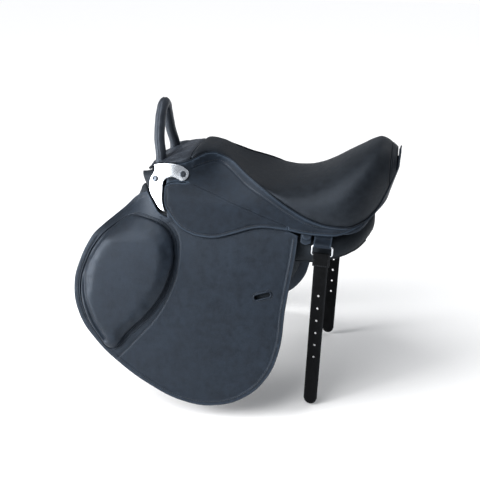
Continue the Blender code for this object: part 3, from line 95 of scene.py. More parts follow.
def srgb(code: str) -> tuple[float, float, float, float]:
    """Turn an sRGB hex colour into linear values.

    Args:
        code: Six hex digits.

    Returns:
        Red, green, blue and an alpha of one.
    """
    parts = (int(code[i:i + 2], 16) / 255.0 for i in (0, 2, 4))
    red, green, blue = (c / 12.92 if c <= 0.04045 else ((c + 0.055) / 1.055) ** 2.4 for c in parts)
    return red, green, blue, 1.0


def add_node(tree: Tree, kind: str, inputs: dict | None = None, links: dict | None = None,
             **settings: object) -> bpy.types.Node:
    """Add a node with its settings and links.

    Args:
        tree: The tree that takes the node.
        kind: The node's type.
        inputs: Values by input name or number.
        links: Output sockets by input name or number.
        settings: Properties of the node.

    Returns:
        The new node.
    """
    node = tree.nodes.new(kind)
    for key, value in settings.items():
        setattr(node, key, value)
    set_node(tree, node, inputs or {}, links or {})
    return node


def set_node(tree: Tree, node: bpy.types.Node, inputs: dict, links: dict) -> None:
    """Set a node's inputs, some to values and some to other nodes' sockets."""
    for key, value in inputs.items():
        node.inputs[key].default_value = value
    for key, socket in links.items():
        tree.links.new(socket, node.inputs[key])


def noise(tree: Tree, place: Socket, size: float, detail: float, **inputs: float) -> Socket:
    """Noise whose features have a size in metres."""
    return add_node(tree, "ShaderNodeTexNoise", {"Scale": 1 / size, "Detail": detail, **inputs},
                    {"Vector": place}).outputs[0]


def blend(tree: Tree, low: str, high: str, share: Socket) -> Socket:
    """A mix of two sRGB colours."""
    return add_node(tree, "ShaderNodeMix", {6: srgb(low), 7: srgb(high)}, {0: share},
                    data_type="RGBA").outputs[2]


def swinging(tree: Tree, middle: float, swing: float, share: Socket) -> Socket:
    """A value that swings about its middle with a noise."""
    return add_node(tree, "ShaderNodeMapRange",
                    {"From Min": 0.3, "From Max": 0.7, "To Min": middle - swing, "To Max": middle + swing},
                    {"Value": share}).outputs[0]


def bump(tree: Tree, strength: float, depth: float, height: Socket, under: Socket | None = None) -> Socket:
    """The normal of a relief, whose depth is in metres, on top of another where one is given."""
    links = {"Height": height} if under is None else {"Height": height, "Normal": under}
    return add_node(tree, "ShaderNodeBump", {"Strength": strength, "Distance": depth}, links).outputs[0]


@dataclass(frozen=True)
class Finish:
    """What every finish has: a name, and a material made once."""

    name: str

    def material(self) -> bpy.types.Material:
        """The material of this finish, made the first time it is asked for."""
        made = bpy.data.materials.get(self.name)
        if made is None:
            made = bpy.data.materials.new(self.name)
            made.use_nodes = True
            tree = made.node_tree
            tree.nodes.clear()
            shader = add_node(tree, "ShaderNodeBsdfPrincipled")
            add_node(tree, "ShaderNodeOutputMaterial", links={"Surface": shader.outputs[0]})
            values, links = self.look(tree, add_node(tree, "ShaderNodeTexCoord").outputs["Object"])
            set_node(tree, shader, values, links)
        return made

    def look(self, tree: Tree, place: Socket) -> tuple[dict, dict]:
        """Fill in the material's tree.

        Args:
            tree: The tree.
            place: The Object coordinates, in metres.

        Returns:
            Values and sockets for the shader's inputs, by name.
        """
        raise NotImplementedError


@dataclass(frozen=True)
class Leather(Finish):
    """Drum-dyed cowhide under a pigmented finish: dark, with pores, soft creases and a sheen.

    The eye gets a satin black that greys where the light grazes it, a fine pebbled grain, and
    paler edges, partly burnished wear and partly a painted highlight, which the mesh marks in its "rim"
    attribute.
    """

    dark: str = "1a1d22"
    worn: str = "2a2f36"
    # Colour of the rim: burnished wear and a painted highlight
    edge: str = "3a4048"
    grain: float = 0.0011
    depth: float = 0.00012
    crease: float = 0.009
    crease_depth: float = 0.00022
    rough: float = 0.44
    rough_swing: float = 0.07
    sheen: float = 0.10
    coat: float = 0.05
    gloss: float = 0.55
    gleam: str = "cfe0f6"

    def look(self, tree: Tree, place: Socket) -> tuple[dict, dict]:
        """Fill in the material's tree."""
        # Dye takes unevenly over some 60 mm, and handling pales it over some 12 mm
        dye = noise(tree, place, 0.060, 4.0, Roughness=0.55)
        rub = noise(tree, place, 0.012, 5.0, Roughness=0.65)
        both = add_node(tree, "ShaderNodeMath", {1: 0.6}, {0: dye, 2: rub}, operation="MULTIPLY_ADD")
        share = add_node(tree, "ShaderNodeMapRange", {"From Min": 0.62, "From Max": 1.02},
                         {"Value": both.outputs[0]})
        skin = blend(tree, self.dark, self.worn, share.outputs[0])
        # The rim is mixed to the paler edge colour: burnished wear and a painted highlight
        rim = add_node(tree, "ShaderNodeAttribute", attribute_name="rim")
        colour = add_node(tree, "ShaderNodeMix", {7: srgb(self.edge)}, {0: rim.outputs["Fac"], 6: skin},
                          data_type="RGBA")
        # Pebbled grain, drawn about twice as coarse as the real pores so that it shows
        pebble = add_node(tree, "ShaderNodeTexVoronoi", {"Scale": 1 / self.grain, "Randomness": 0.95},
                          {"Vector": place}, feature="DISTANCE_TO_EDGE")
        pore = add_node(tree, "ShaderNodeMapRange", {"From Max": 0.22}, {"Value": pebble.outputs[0]})
        # Dye that collects in the pores and painted shade darken them to 62 per cent
        pore_dye_and_shade = add_node(tree, "ShaderNodeMix", {6: (0.62, 0.62, 0.62, 1.0), 7: (1.0, 1.0, 1.0, 1.0)},
                        {0: pore.outputs[0]}, data_type="RGBA")
        tint = add_node(tree, "ShaderNodeMix", {0: 1.0}, {6: colour.outputs[2], 7: pore_dye_and_shade.outputs[2]},
                        data_type="RGBA", blend_type="MULTIPLY")
        fold = noise(tree, place, self.crease, 3.0, Distortion=1.2)
        soft = bump(tree, 0.6, self.crease_depth, fold)
        values = {"Specular IOR Level": self.gloss, "Specular Tint": srgb(self.gleam),
                  "Sheen Weight": self.sheen, "Sheen Roughness": 0.45, "Sheen Tint": srgb("8c9bb0"),
                  "Coat Weight": self.coat, "Coat Roughness": 0.32}
        return values, {"Base Color": tint.outputs[2],
                        "Roughness": swinging(tree, self.rough, self.rough_swing, rub),
                        "Normal": bump(tree, 0.55, self.depth, pore.outputs[0], soft)}


@dataclass(frozen=True)
class Thread(Finish):
    """Bonded and waxed nylon thread, twisted from three strands: a small tight glint."""

    def look(self, tree: Tree, place: Socket) -> tuple[dict, dict]:
        """Fill in the material's tree."""
        # The strands' twist has a lay of about 1 mm
        lay = add_node(tree, "ShaderNodeTexWave", {"Scale": 1 / 0.0010 / (2 * pi), "Distortion": 1.0},
                       {"Vector": place}, bands_direction="DIAGONAL").outputs[1]
        return {"Roughness": 0.42}, {"Base Color": blend(tree, "0c0e12", "1a1f27", lay),
                                     "Normal": bump(tree, 0.5, 0.0001, lay)}


@dataclass(frozen=True)
class Metal(Finish):
    """Steel as it leaves the polishing wheel or the barrel: mirror-like, with faint scratches."""

    tone: str
    shade: str
    rough: float
    rough_swing: float = 0.05
    scratch: float = 0.00002

    def look(self, tree: Tree, place: Socket) -> tuple[dict, dict]:
        """Fill in the material's tree."""
        # Polishing lines lie along the saddle, about 0.8 mm apart and 25 mm long
        turned = add_node(tree, "ShaderNodeMapping", {"Scale": (1 / 0.025, 1 / 0.0008, 1 / 0.0008),
                                                      "Rotation": (0.0, radians(34.0), 0.0)},
                          {"Vector": place})
        lines = noise(tree, turned.outputs[0], 1.0, 3.0)
        haze = noise(tree, place, 0.018, 4.0)
        return {"Metallic": 1.0}, {"Base Color": blend(tree, self.tone, self.shade, haze),
                                   "Roughness": swinging(tree, self.rough, self.rough_swing, haze),
                                   "Normal": bump(tree, 0.35, self.scratch, lines)}


@dataclass(frozen=True)
class Moulded(Finish):
    """Injection-moulded nylon with glass fibre: dull, slightly orange-peeled dark grey."""

    def look(self, tree: Tree, place: Socket) -> tuple[dict, dict]:
        """Fill in the material's tree."""
        # Flow marks some 30 mm long and the tool's spark-eroded texture of about 0.9 mm
        flow = noise(tree, place, 0.030, 3.0)
        spark = noise(tree, place, 0.0009, 2.0)
        return {"Roughness": 0.56}, {"Base Color": blend(tree, "26282b", "33363a", flow),
                                     "Normal": bump(tree, 0.4, 0.00008, spark)}


@dataclass(frozen=True)
class Webbing(Finish):
    """Jute and polyester webbing in plain weave: matt, ribbed by its threads."""

    pitch: float = 0.0018

    def look(self, tree: Tree, place: Socket) -> tuple[dict, dict]:
        """Fill in the material's tree."""
        ribs = [add_node(tree, "ShaderNodeTexWave", {"Scale": 1 / self.pitch / (2 * pi), "Distortion": 0.4},
                         {"Vector": place}, bands_direction=way).outputs[1] for way in ("X", "Y")]
        weave = add_node(tree, "ShaderNodeMath", {}, {0: ribs[0], 1: ribs[1]},
                         operation="MULTIPLY").outputs[0]
        return ({"Roughness": 0.86, "Sheen Weight": 0.25},
                {"Base Color": blend(tree, "6d6658", "a79c86", weave),
                 "Normal": bump(tree, 0.8, 0.0004, weave)})


@dataclass(frozen=True)
class Paper(Finish):
    """Matt white background paper: it takes a soft shadow and nothing else."""

    def look(self, tree: Tree, place: Socket) -> tuple[dict, dict]:
        """Fill in the material's tree."""
        fibre = noise(tree, place, 0.004, 2.0)
        return ({"Roughness": 0.95, "Specular IOR Level": 0.1},
                {"Base Color": blend(tree, "fbfbfb", "ffffff", fibre)})


FLAP_LEATHER = Leather("smooth_flap_cowhide", dark="0d1219", worn="161e28", edge="2f3946",
                       sheen=0.07, gloss=0.34)
SKIRT_LEATHER = Leather("smooth_skirt_cowhide", dark="10151c", worn="1a222c", edge="414d5b",
                        rough=0.42, sheen=0.02, gloss=0.20)
SEAT_LEATHER = Leather("soft_seat_calfskin", dark="14171b", worn="1f2328", edge="31363c",
                       grain=0.0013, depth=0.00016, crease=0.014, crease_depth=0.00035, rough=0.47,
                       sheen=0.02, gloss=0.22)
GRIP_LEATHER = Leather("gathered_grip_calfskin", dark="191b20", worn="282b31", edge="3a3e45",
                       grain=0.0012, depth=0.00018, crease=0.006, crease_depth=0.0005, rough=0.50,
                       gloss=0.62)
PANEL_LEATHER = Leather("milled_panel_calfskin", dark="15181b", worn="202428", edge="33373b",
                        grain=0.0018, depth=0.00024, crease=0.012, crease_depth=0.0006, rough=0.52,
                        sheen=0.02, gloss=0.20)
STRAP_LEATHER = Leather("bridle_butt_strap", dark="090a0b", worn="121315", edge="26282b",
                        grain=0.0009, depth=0.00008, crease=0.02, rough=0.60, sheen=0.0, coat=0.0,
                        gloss=0.06, gleam="eef0f4")
THREAD = Thread("waxed_nylon_thread")
POLISHED_PLATE = Metal("polished_stainless_plate", tone="e9eef4", shade="dbe1e9", rough=0.19)
BRIGHT_STEEL = Metal("bright_nickel_plate", tone="dde0e4", shade="c4c8cd", rough=0.14)
FORGED_STEEL = Metal("drop_forged_stainless", tone="b9bec4", shade="9ea4ab", rough=0.30,
                     scratch=0.00006)
DARK_STEEL = Metal("oil_blackened_screw_steel", tone="565c64", shade="3b4046", rough=0.30)
TREE_NYLON = Moulded("glass_filled_nylon")
SEAT_WEBBING = Webbing("seat_webbing")


# Curves


def ease(share: Array) -> Array:
    """Ease from 0 to 1 as share goes from 0 to 1."""
    share = np.clip(share, 0.0, 1.0)
    return share * share * (3.0 - 2.0 * share)


def bell(away: Array | float, reach: float) -> Array | float:
    """A bell curve: 1 at the middle and 0.37 at its reach."""
    return np.exp(-((away / reach) ** 2))


def fair(knots: Knots, s: Array | float) -> Array:
    """Read a smooth curve without overshoot.

    Args:
        knots: Pairs of a station and a value, in rising order.
        s: Where to read it.

    Returns:
        The curve's values, held at both ends.
    """
    x = np.array([knot[0] for knot in knots])
    y = np.array([knot[1] for knot in knots])
    rise = np.diff(y) / np.diff(x)
    slope = np.zeros_like(y)
    same = rise[:-1] * rise[1:] > 0.0
    slope[1:-1][same] = 2.0 * rise[:-1][same] * rise[1:][same] / (rise[:-1] + rise[1:])[same]
    s = np.clip(np.asarray(s, float), x[0], x[-1])
    i = np.clip(np.searchsorted(x, s, side="left") - 1, 0, len(x) - 2)
    span = x[i + 1] - x[i]
    t = (s - x[i]) / span
    return (y[i] * (2 * t**3 - 3 * t**2 + 1) + slope[i] * span * (t**3 - 2 * t**2 + t)
            + y[i + 1] * (3 * t**2 - 2 * t**3) + slope[i + 1] * span * (t**3 - t**2))


def solve(rising: Callable[[Array], Array], low: Array, high: Array) -> Array:
    """Where a rising function passes zero.

    Args:
        rising: The function.
        low: Values below the answers.
        high: Values above the answers.

    Returns:
        The answers.
    """
    for _ in range(36):
        middle = (low + high) / 2
        under = rising(middle) < 0.0
        low, high = np.where(under, middle, low), np.where(under, high, middle)
    return (low + high) / 2


def through(points: Array, steps: int, cyclic: bool = False) -> Array:
    """Points of the smooth curve through a list of places.

    Args:
        points: The places, a row each.
        steps: Steps to a span.
        cyclic: Whether the curve closes.

    Returns:
        The curve's points, a row each.
    """
    p = np.asarray(points, float)
    if cyclic:
        a, b, c, d = (np.roll(p, shift, axis=0) for shift in (1, 0, -1, -2))
    else:
        long = np.vstack((2 * p[0] - p[1], p, 2 * p[-1] - p[-2]))
        a, b, c, d = long[:-3], long[1:-2], long[2:-1], long[3:]
    t = np.arange(steps)[None, :, None] / steps
    a, b, c, d = (q[:, None, :] for q in (a, b, c, d))
    made = 0.5 * (2 * b + (c - a) * t + (2 * a - 5 * b + 4 * c - d) * t**2
                  + (3 * b - a - 3 * c + d) * t**3)
    made = made.reshape(-1, p.shape[1])
    return made if cyclic else np.vstack((made, p[-1:]))


def along(line: Array, pitch: float) -> Array:
    """Places at an even pitch along a line.

    Args:
        line: The line's points; only the first three columns count for the distance.
        pitch: Distance between places.

    Returns:
        The places, a row each.
    """
    run = run_of(line[:, :3])
    count = max(int(round(run[-1] / pitch)), 1)
    at = (np.arange(count) + 0.5) * run[-1] / count
    return np.stack([np.interp(at, run, line[:, k]) for k in range(line.shape[1])], axis=1)


def run_of(line: Array) -> Array:
    """The distance travelled along a line at each of its points."""
    return np.concatenate(([0.0], np.cumsum(np.linalg.norm(np.diff(line, axis=0), axis=1))))


def unit(rows: Array, least: float = 0.0) -> Array:
    """Rows brought to unit length; a row shorter than least is only divided by it."""
    return rows / np.maximum(np.linalg.norm(rows, axis=-1, keepdims=True), least)


def distance(places: Array, line: Array, closed: bool = False, used: Array | None = None) -> Array:
    """Shortest distance in the flat from places to a line.

    Args:
        places: Places, a row each.
        line: The line's points.
        closed: Whether the line closes.
        used: Which of the line's stretches count.

    Returns:
        A distance for each place.
    """
    a = line if closed else line[:-1]
    b = np.roll(line, -1, axis=0) if closed else line[1:]
    if used is not None:
        a, b = a[used], b[used]
    best = np.full(len(places), 1.0)
    for start, end in zip(a, b):
        step = end - start
        length = float(step @ step)
        if length < 1e-14:
            continue
        t = np.clip(((places - start) @ step) / length, 0.0, 1.0)
        best = np.minimum(best, np.linalg.norm(places - start - t[:, None] * step, axis=1))
    return best


def inside_line(line: Array, inset: float) -> Array:
    """A closed line drawn an even distance inside another.

    Args:
        line: Points of the outer line.
        inset: The distance between them.

    Returns:
        Points of the inner line, fewer where the outer line turns sharply.
    """
    ahead, behind = np.roll(line, -1, axis=0), np.roll(line, 1, axis=0)
    tangent = unit(ahead - behind)
    area = np.sum(line[:, 0] * ahead[:, 1] - ahead[:, 0] * line[:, 1])
    normal = np.stack((-tangent[:, 1], tangent[:, 0]), axis=1) * (1.0 if area > 0 else -1.0)
    moved = line + normal * inset
    return moved[distance(moved, line, True) > inset * 0.985]


# The side, and the lines drawn on it


@dataclass(frozen=True)
class Side:
    """The surface that the sheets of leather are bent over, on the near flank."""

    top_y: float = 0.052
    top_z: float = 0.140
    upper_lean: float = radians(28.0)
    lower_lean: float = radians(15.0)
    upper_run: float = 0.140
    ease_run: float = 0.120
    narrowing: float = 0.032
    twist_x: float = -0.105
    twist_reach: float = 0.060
    twist_z: tuple[float, float] = (0.057, 0.122)
    head_u: float = -0.200
    head_radius: float = 0.085
    head_z: tuple[float, float] = (-0.010, 0.050)
    tail_u: float = 0.100
    tail_run: float = 0.180
    tail_reach: float = 0.105
    undercut: float = 0.33
    undercut_z: float = 0.125
    least_reach: float = 0.076
    roundness: float = 0.8
    flattening: float = 0.012
    flat_start: float = radians(50.0)

    def section(self, v: Array, o: Array) -> tuple[Array, Array, Array]:
        """The side's straight section.

        Args:
            v: Depths down the side.
            o: Heights off it.

        Returns:
            Distance from the centre plane, how far o takes it out, and height.
        """
        straight = np.minimum(v, self.upper_run)
        rate = (self.upper_lean - self.lower_lean) / self.ease_run
        lean = self.upper_lean - rate * np.clip(v - self.upper_run, 0.0, self.ease_run)
        low = np.maximum(v - self.upper_run - self.ease_run, 0.0)
        y = self.top_y + straight * sin(self.upper_lean) + low * sin(self.lower_lean)
        y = y + (np.cos(lean) - cos(self.upper_lean)) / rate
        z = self.top_z - straight * cos(self.upper_lean) - low * cos(self.lower_lean)
        z = z - (sin(self.upper_lean) - np.sin(lean)) / rate
        return y, o * np.cos(lean), z + o * np.sin(lean)

    def twist(self, u: Array, z: Array) -> Array:
        """How far the side is drawn in at the twist of the seat."""
        low, high = self.twist_z
        return self.narrowing * bell(u - self.twist_x, self.twist_reach) * ease((z - low) / (high - low))

    def point(self, u: Array, v: Array, o: Array | float = 0.0) -> Array:
        """Points of the near side.

        Args:
            u: Runs along the saddle.
            v: Depths down the side.
            o: Heights off it.

        Returns:
            The points, a row each.
        """
        u, v, o = np.broadcast_arrays(np.asarray(u, float), np.asarray(v, float), np.asarray(o, float))
        y, out, z = self.section(v, o)
        turn = (self.head_u - u) / self.head_radius
        share = ease((z - self.head_z[0]) / (self.head_z[1] - self.head_z[0]))
        bent_x = self.head_u - (self.head_radius + out) * np.sin(turn)
        bent_y = y - self.head_radius + (self.head_radius + out) * np.cos(turn)
        head = (u + (bent_x - u) * share, y + out + (bent_y - y - out) * share)
        round_it = np.clip((u - self.tail_u) / self.tail_run, 0.0, 1.0) * pi / 2
        reach = np.maximum(self.tail_reach - self.undercut * np.maximum(self.undercut_z - z, 0.0),
                           self.least_reach)
        flat = self.flattening * ease((round_it - self.flat_start) / (pi / 2 - self.flat_start))
        tail = (self.tail_u + (reach + out) * np.sin(round_it) ** self.roundness - flat,
                (y + out) * np.maximum(np.cos(round_it), 0.0) ** self.roundness)
        x = np.where(u < self.head_u, head[0], np.where(u > self.tail_u, tail[0], u))
        wide = np.where(u < self.head_u, head[1], np.where(u > self.tail_u, tail[1], y + out))
        return np.stack((x, -(wide - self.twist(u, z)), z), axis=-1)

    def out(self, u: Array, v: Array, o: Array | float = 0.0) -> Array:
        """Directions square to the side at places on it, pointing out."""
        return unit(self.point(u, v, np.asarray(o) + 0.001) - self.point(u, v, o))


SIDE = Side()
SWEAT_FLAP_O, SWEAT_FLAP_THICKNESS = 0.0004, 0.0025
FRONT_STRAP_O, GIRTH_STRAP_THICKNESS = 0.0033, 0.0026
FLAP_O, FLAP_THICKNESS = 0.0063, 0.0040
SKIRT_O, SKIRT_THICKNESS = 0.0107, 0.0035
COVER_O = SKIRT_O + SKIRT_THICKNESS
HEAD_PLATE_O, HEAD_PLATE_THICKNESS = COVER_O + 2 * CLEARANCE, 0.0030

CREST = (
    (-0.2475, 0.105), (-0.2330, 0.1125), (-0.2150, 0.120), (-0.1950, 0.129), (-0.1680, 0.138),
    (-0.1550, 0.1435), (-0.1250, 0.140), (-0.0980, 0.124), (-0.0690, 0.105), (-0.0400, 0.0935),
    (-0.0090, 0.090), (0.0320, 0.095), (0.0600, 0.104), (0.0850, 0.117), (0.1100, 0.133),
    (0.1360, 0.149), (0.1570, 0.162), (0.1700, 0.167), (0.1790, 0.165), (0.1870, 0.1605),
    (0.1960, 0.154), (0.2030, 0.148),
)
WELT = (
    (-0.2700, 0.051), (-0.2450, 0.045), (-0.2150, 0.031), (-0.1860, 0.030), (-0.1630, 0.023),
    (-0.1410, 0.013), (-0.1300, 0.012), (-0.1160, 0.017), (-0.0950, 0.026), (-0.0760, 0.038),
    (-0.0330, 0.062), (0.0200, 0.095), (0.0620, 0.115), (0.0960, 0.123), (0.1270, 0.124),
    (0.1650, 0.114), (0.1810, 0.104), (0.1950, 0.090), (0.2070, 0.064), (0.2180, 0.032),
    (0.2300, 0.008), (0.2450, -0.003), (0.2800, -0.006),
)
FOLD_FRONT = (-0.215, 0.050)
FOLD_REAR = (0.045, 0.138)


def run_at(x: Array, o: Array | float) -> Array:
    """The run u at which the welt that the seat ends on lies at x, at height o."""
    low = np.full(np.shape(x), -0.420)
    high = np.full(np.shape(x), SIDE.tail_u + SIDE.tail_run)
    return solve(lambda run: SIDE.point(run, fair(WELT, run), o)[..., 0] - x, low, high)


def welt_at(x: Array, o: Array | float) -> Array:
    """Points of the welt that the seat ends on."""
    u = run_at(x, o)
    return SIDE.point(u, fair(WELT, u), o)


def fold_v(u: Array | float) -> Array | float:
    """Depth of the fold that the flap and the skirt swing on."""
    share = (u - FOLD_FRONT[0]) / (FOLD_REAR[0] - FOLD_FRONT[0])
    return FOLD_FRONT[1] + (FOLD_REAR[1] - FOLD_FRONT[1]) * share


# Modelling


def deselect() -> None:
    """Leave nothing selected, in object mode."""
    if bpy.context.mode != "OBJECT":
        bpy.ops.object.mode_set(mode="OBJECT")
    bpy.ops.object.select_all(action="DESELECT")


def pick(piece: bpy.types.Object) -> None:
    """Select one object alone and make it active."""
    deselect()
    piece.select_set(True)
    bpy.context.view_layer.objects.active = piece


@contextmanager
def editing(piece: bpy.types.Object, kind: str = "FACE", chosen: Sequence[bool] | Array | None = None
            ) -> Iterator[None]:
    """Edit mode on one object, with all of it or a chosen part of it selected.

    Args:
        piece: The object.
        kind: VERT, EDGE or FACE.
        chosen: Which of its edges or faces are selected, where not all are.

    Yields:
        Nothing.
    """
    pick(piece)
    bpy.ops.object.mode_set(mode="EDIT")
    bpy.ops.mesh.select_mode(type=kind)
    bpy.ops.mesh.select_all(action="SELECT" if chosen is None else "DESELECT")
    if chosen is not None:
        bpy.ops.object.mode_set(mode="OBJECT")
        (piece.data.polygons if kind == "FACE" else piece.data.edges).foreach_set("select", chosen)
        bpy.ops.object.mode_set(mode="EDIT")
        bpy.ops.mesh.select_mode(type=kind)
    yield
    bpy.ops.object.mode_set(mode="OBJECT")


def points_of(piece: bpy.types.Object) -> Array:
    """The places of a mesh's points, a row each."""
    flat = np.empty(len(piece.data.vertices) * 3)
    piece.data.vertices.foreach_get("co", flat)
    return flat.reshape(-1, 3)


def set_points(piece: bpy.types.Object, points: Array) -> None:
    """Move a mesh's points to new places."""
    piece.data.vertices.foreach_set("co", np.ascontiguousarray(points, float).ravel())
    piece.data.update()


def turn_out(piece: bpy.types.Object) -> None:
    """Make the faces of a closed piece point outwards."""
    with editing(piece):
        bpy.ops.mesh.normals_make_consistent(inside=False)


def smooth(piece: bpy.types.Object, angle: float = 38.0) -> None:
    """Shade a piece smooth up to an angle in degrees."""
    pick(piece)
    bpy.ops.object.shade_smooth_by_angle(angle=radians(angle))


def apply_all(piece: bpy.types.Object) -> None:
    """Apply every modifier of a piece in order."""
    pick(piece)
    for modifier in list(piece.modifiers):
        bpy.ops.object.modifier_apply(modifier=modifier.name)


def raise_skin(piece: bpy.types.Object, rise: Array) -> None:
    """Move a mesh's points out along their normals."""
    normals = np.empty(len(rise) * 3)
    piece.data.vertices.foreach_get("normal", normals)
    set_points(piece, points_of(piece) + normals.reshape(-1, 3) * rise[:, None])


def to_mesh(curve: bpy.types.Curve) -> bpy.types.Object:
    """Turn a curve into a mesh object of the same name."""
    drawn = bpy.data.objects.new(curve.name, curve)
    bpy.context.scene.collection.objects.link(drawn)
    pick(drawn)
    bpy.ops.object.convert(target="MESH")
    return bpy.context.object


def tag(piece: bpy.types.Object, name: str, values: Array) -> None:
    """Store a number at each point of a mesh for its material to read."""
    made = piece.data.attributes.new(name, "FLOAT", "POINT")
    made.data.foreach_set("value", np.ascontiguousarray(values, float))


def mirrored(piece: bpy.types.Object) -> bpy.types.Object:
    """Copy a near-side piece to the off side.

    Args:
        piece: The near-side piece, its name ending in _left.

    Returns:
        The off-side piece, named to match.
    """
    copy = piece.copy()
    copy.data = piece.data.copy()
    copy.name = piece.name.replace("_left", "_right")
    copy.data.name = copy.name
    bpy.context.scene.collection.objects.link(copy)
    copy.data.transform(Matrix.Diagonal((1.0, -1.0, 1.0, 1.0)))
    with editing(copy):
        bpy.ops.mesh.flip_normals()
    return copy


def carve(piece: bpy.types.Object, cutter: bpy.types.Object) -> None:
    """Cut a closed piece away from another; the cutter is used up."""
    modifier = piece.modifiers.new("carve", "BOOLEAN")
    modifier.operation = "DIFFERENCE"
    modifier.object = cutter
    modifier.solver = "EXACT"
    apply_all(piece)
    bpy.data.objects.remove(cutter, do_unlink=True)


def outline_points(knots: Knots, steps: int = 12) -> Array:
    """Draw a smooth closed outline through knots.

    Args:
        knots: Places in the flat; one with True after it is a corner.
        steps: Steps to a span.

    Returns:
        The outline's points in order.
    """
    curve = bpy.data.curves.new("outline", "CURVE")
    curve.dimensions = "2D"
    curve.fill_mode = "NONE"
    curve.resolution_u = steps
    spline = curve.splines.new("BEZIER")
    spline.bezier_points.add(len(knots) - 1)
    spline.use_cyclic_u = True
    for point, knot in zip(spline.bezier_points, knots):
        point.co = (knot[0], knot[1], 0.0)
        kind = "VECTOR" if len(knot) > 2 else "AUTO"
        point.handle_left_type = point.handle_right_type = kind
    drawn = to_mesh(curve)
    points = points_of(drawn)[:, :2]
    bpy.data.objects.remove(drawn, do_unlink=True)
    step = np.linalg.norm(points - np.roll(points, 1, axis=0), axis=1)
    return points[step > 0.00005]


def thinned(line: Array, least: float) -> Array:
    """Drop points of a closed line that lie closer together than a least step, never a corner.

    Args:
        line: Points of the line.
        least: The least step.

    Returns:
        The points that stay.
    """
    ahead = np.roll(line, -1, axis=0) - line
    behind = line - np.roll(line, 1, axis=0)
    turn = np.abs(ahead[:, 0] * behind[:, 1] - ahead[:, 1] * behind[:, 0])
    lengths = np.linalg.norm(ahead, axis=1) * np.linalg.norm(behind, axis=1)
    corner = (turn > 0.35 * lengths) | (np.sum(ahead * behind, axis=1) < 0.0)
    sharp = line[corner]
    kept: list[Array] = []
    for point, fixed in zip(line, corner):
        near_corner = len(sharp) and np.min(np.linalg.norm(sharp - point, axis=1)) < least
        near_last = bool(kept) and np.linalg.norm(point - kept[-1]) < least
        if fixed or not (near_corner or near_last):
            kept.append(point)
    return np.array(kept)


def flat_sheet(name: str, outline: Array) -> bpy.types.Object:
    """A flat filled sheet, from a circle whose points are moved to an outline."""
    deselect()
    bpy.ops.mesh.primitive_circle_add(vertices=len(outline), radius=0.1, fill_type="NGON")
    piece = bpy.context.object
    piece.name = piece.data.name = name
    set_points(piece, np.column_stack((outline, np.zeros(len(outline)))))
    return piece


def loft(name: str, rings: Array, closed: bool = True, capped: bool = True) -> bpy.types.Object:
    """A skin over rings of points, from a grid whose points are moved on to them.

    Args:
        name: The piece's name.
        rings: An array of rings, each a row of points.
        closed: Whether each ring closes.
        capped: Whether the first and last ring are filled.

    Returns:
        The piece, its seam merged and its faces pointing out.
    """
    rings = np.asarray(rings, float)
    if closed:
        rings = np.concatenate((rings, rings[:, :1]), axis=1)
    count, size = rings.shape[:2]
    deselect()
    bpy.ops.mesh.primitive_grid_add(x_subdivisions=size - 1, y_subdivisions=count - 1, size=2.0)
    piece = bpy.context.object
    piece.name = piece.data.name = name
    grid = (points_of(piece)[:, :2] + 1.0) / 2.0
    column = np.rint(grid[:, 0] * (size - 1)).astype(int)
    row = np.rint(grid[:, 1] * (count - 1)).astype(int)
    set_points(piece, rings[row, column])
    with editing(piece, "EDGE"):
        bpy.ops.mesh.remove_doubles(threshold=MERGE)
        if capped:
            bpy.ops.mesh.select_all(action="DESELECT")
            bpy.ops.mesh.select_non_manifold(extend=False, use_wire=False, use_multi_face=False,
                                             use_non_contiguous=False, use_verts=False)
            bpy.ops.mesh.fill_holes(sides=0)
            bpy.ops.mesh.select_all(action="SELECT")
        bpy.ops.mesh.normals_make_consistent(inside=False)
    smooth(piece)
    return piece


def cord_of(name: str, line: Array, radius: float, sides: int = 3, closed: bool = False
            ) -> bpy.types.Object:
    """A round rod, wire or piping along a line.

    Args:
        name: The piece's name.
        line: The points that it follows.
        radius: Its radius.
        sides: Half the roundness of its section.
        closed: Whether it closes on itself.

    Returns:
        The piece, as a mesh.
    """
    curve = bpy.data.curves.new(name, "CURVE")
    curve.dimensions = "3D"
    curve.bevel_depth = radius
    curve.bevel_resolution = sides
    curve.use_fill_caps = not closed
    spline = curve.splines.new("POLY")
    spline.points.add(len(line) - 1)
    spline.points.foreach_set("co", np.column_stack((line, np.ones(len(line)))).ravel())
    spline.use_cyclic_u = closed
    piece = to_mesh(curve)
    piece.name = piece.data.name = name
    with editing(piece):
        bpy.ops.mesh.remove_doubles(threshold=MERGE)
        bpy.ops.mesh.normals_make_consistent(inside=False)
    smooth(piece, 60.0)
    return piece


def rounding(inset: Array, radius: float) -> Array:
    """How far an edge rounded to a radius has dropped, by the distance in from the rim."""
    lack = np.clip(radius - inset, 0.0, radius)
    return radius - np.sqrt(np.maximum(radius**2 - lack**2, 0.0))


def slice_up(outline: Array, cell: float) -> None:
    """Cut the flat leaf in edit mode into cells, so that it can bend.

    Args:
        outline: Points of its outline.
        cell: Size of the cells.
    """
    low, high = outline.min(axis=0), outline.max(axis=0)
    for axis in (0, 1):
        normal = [0.0, 0.0, 0.0]
        normal[axis] = 1.0
        count = int((high[axis] - low[axis]) / cell)
        for k in range(1, count + 1):
            at = [0.0, 0.0, 0.0]
            # The last term keeps a cut from running exactly along a straight edge
            at[axis] = low[axis] + (high[axis] - low[axis]) * k / (count + 1) + 0.00001
            bpy.ops.mesh.select_all(action="SELECT")
            bpy.ops.mesh.bisect(plane_co=at, plane_no=normal)


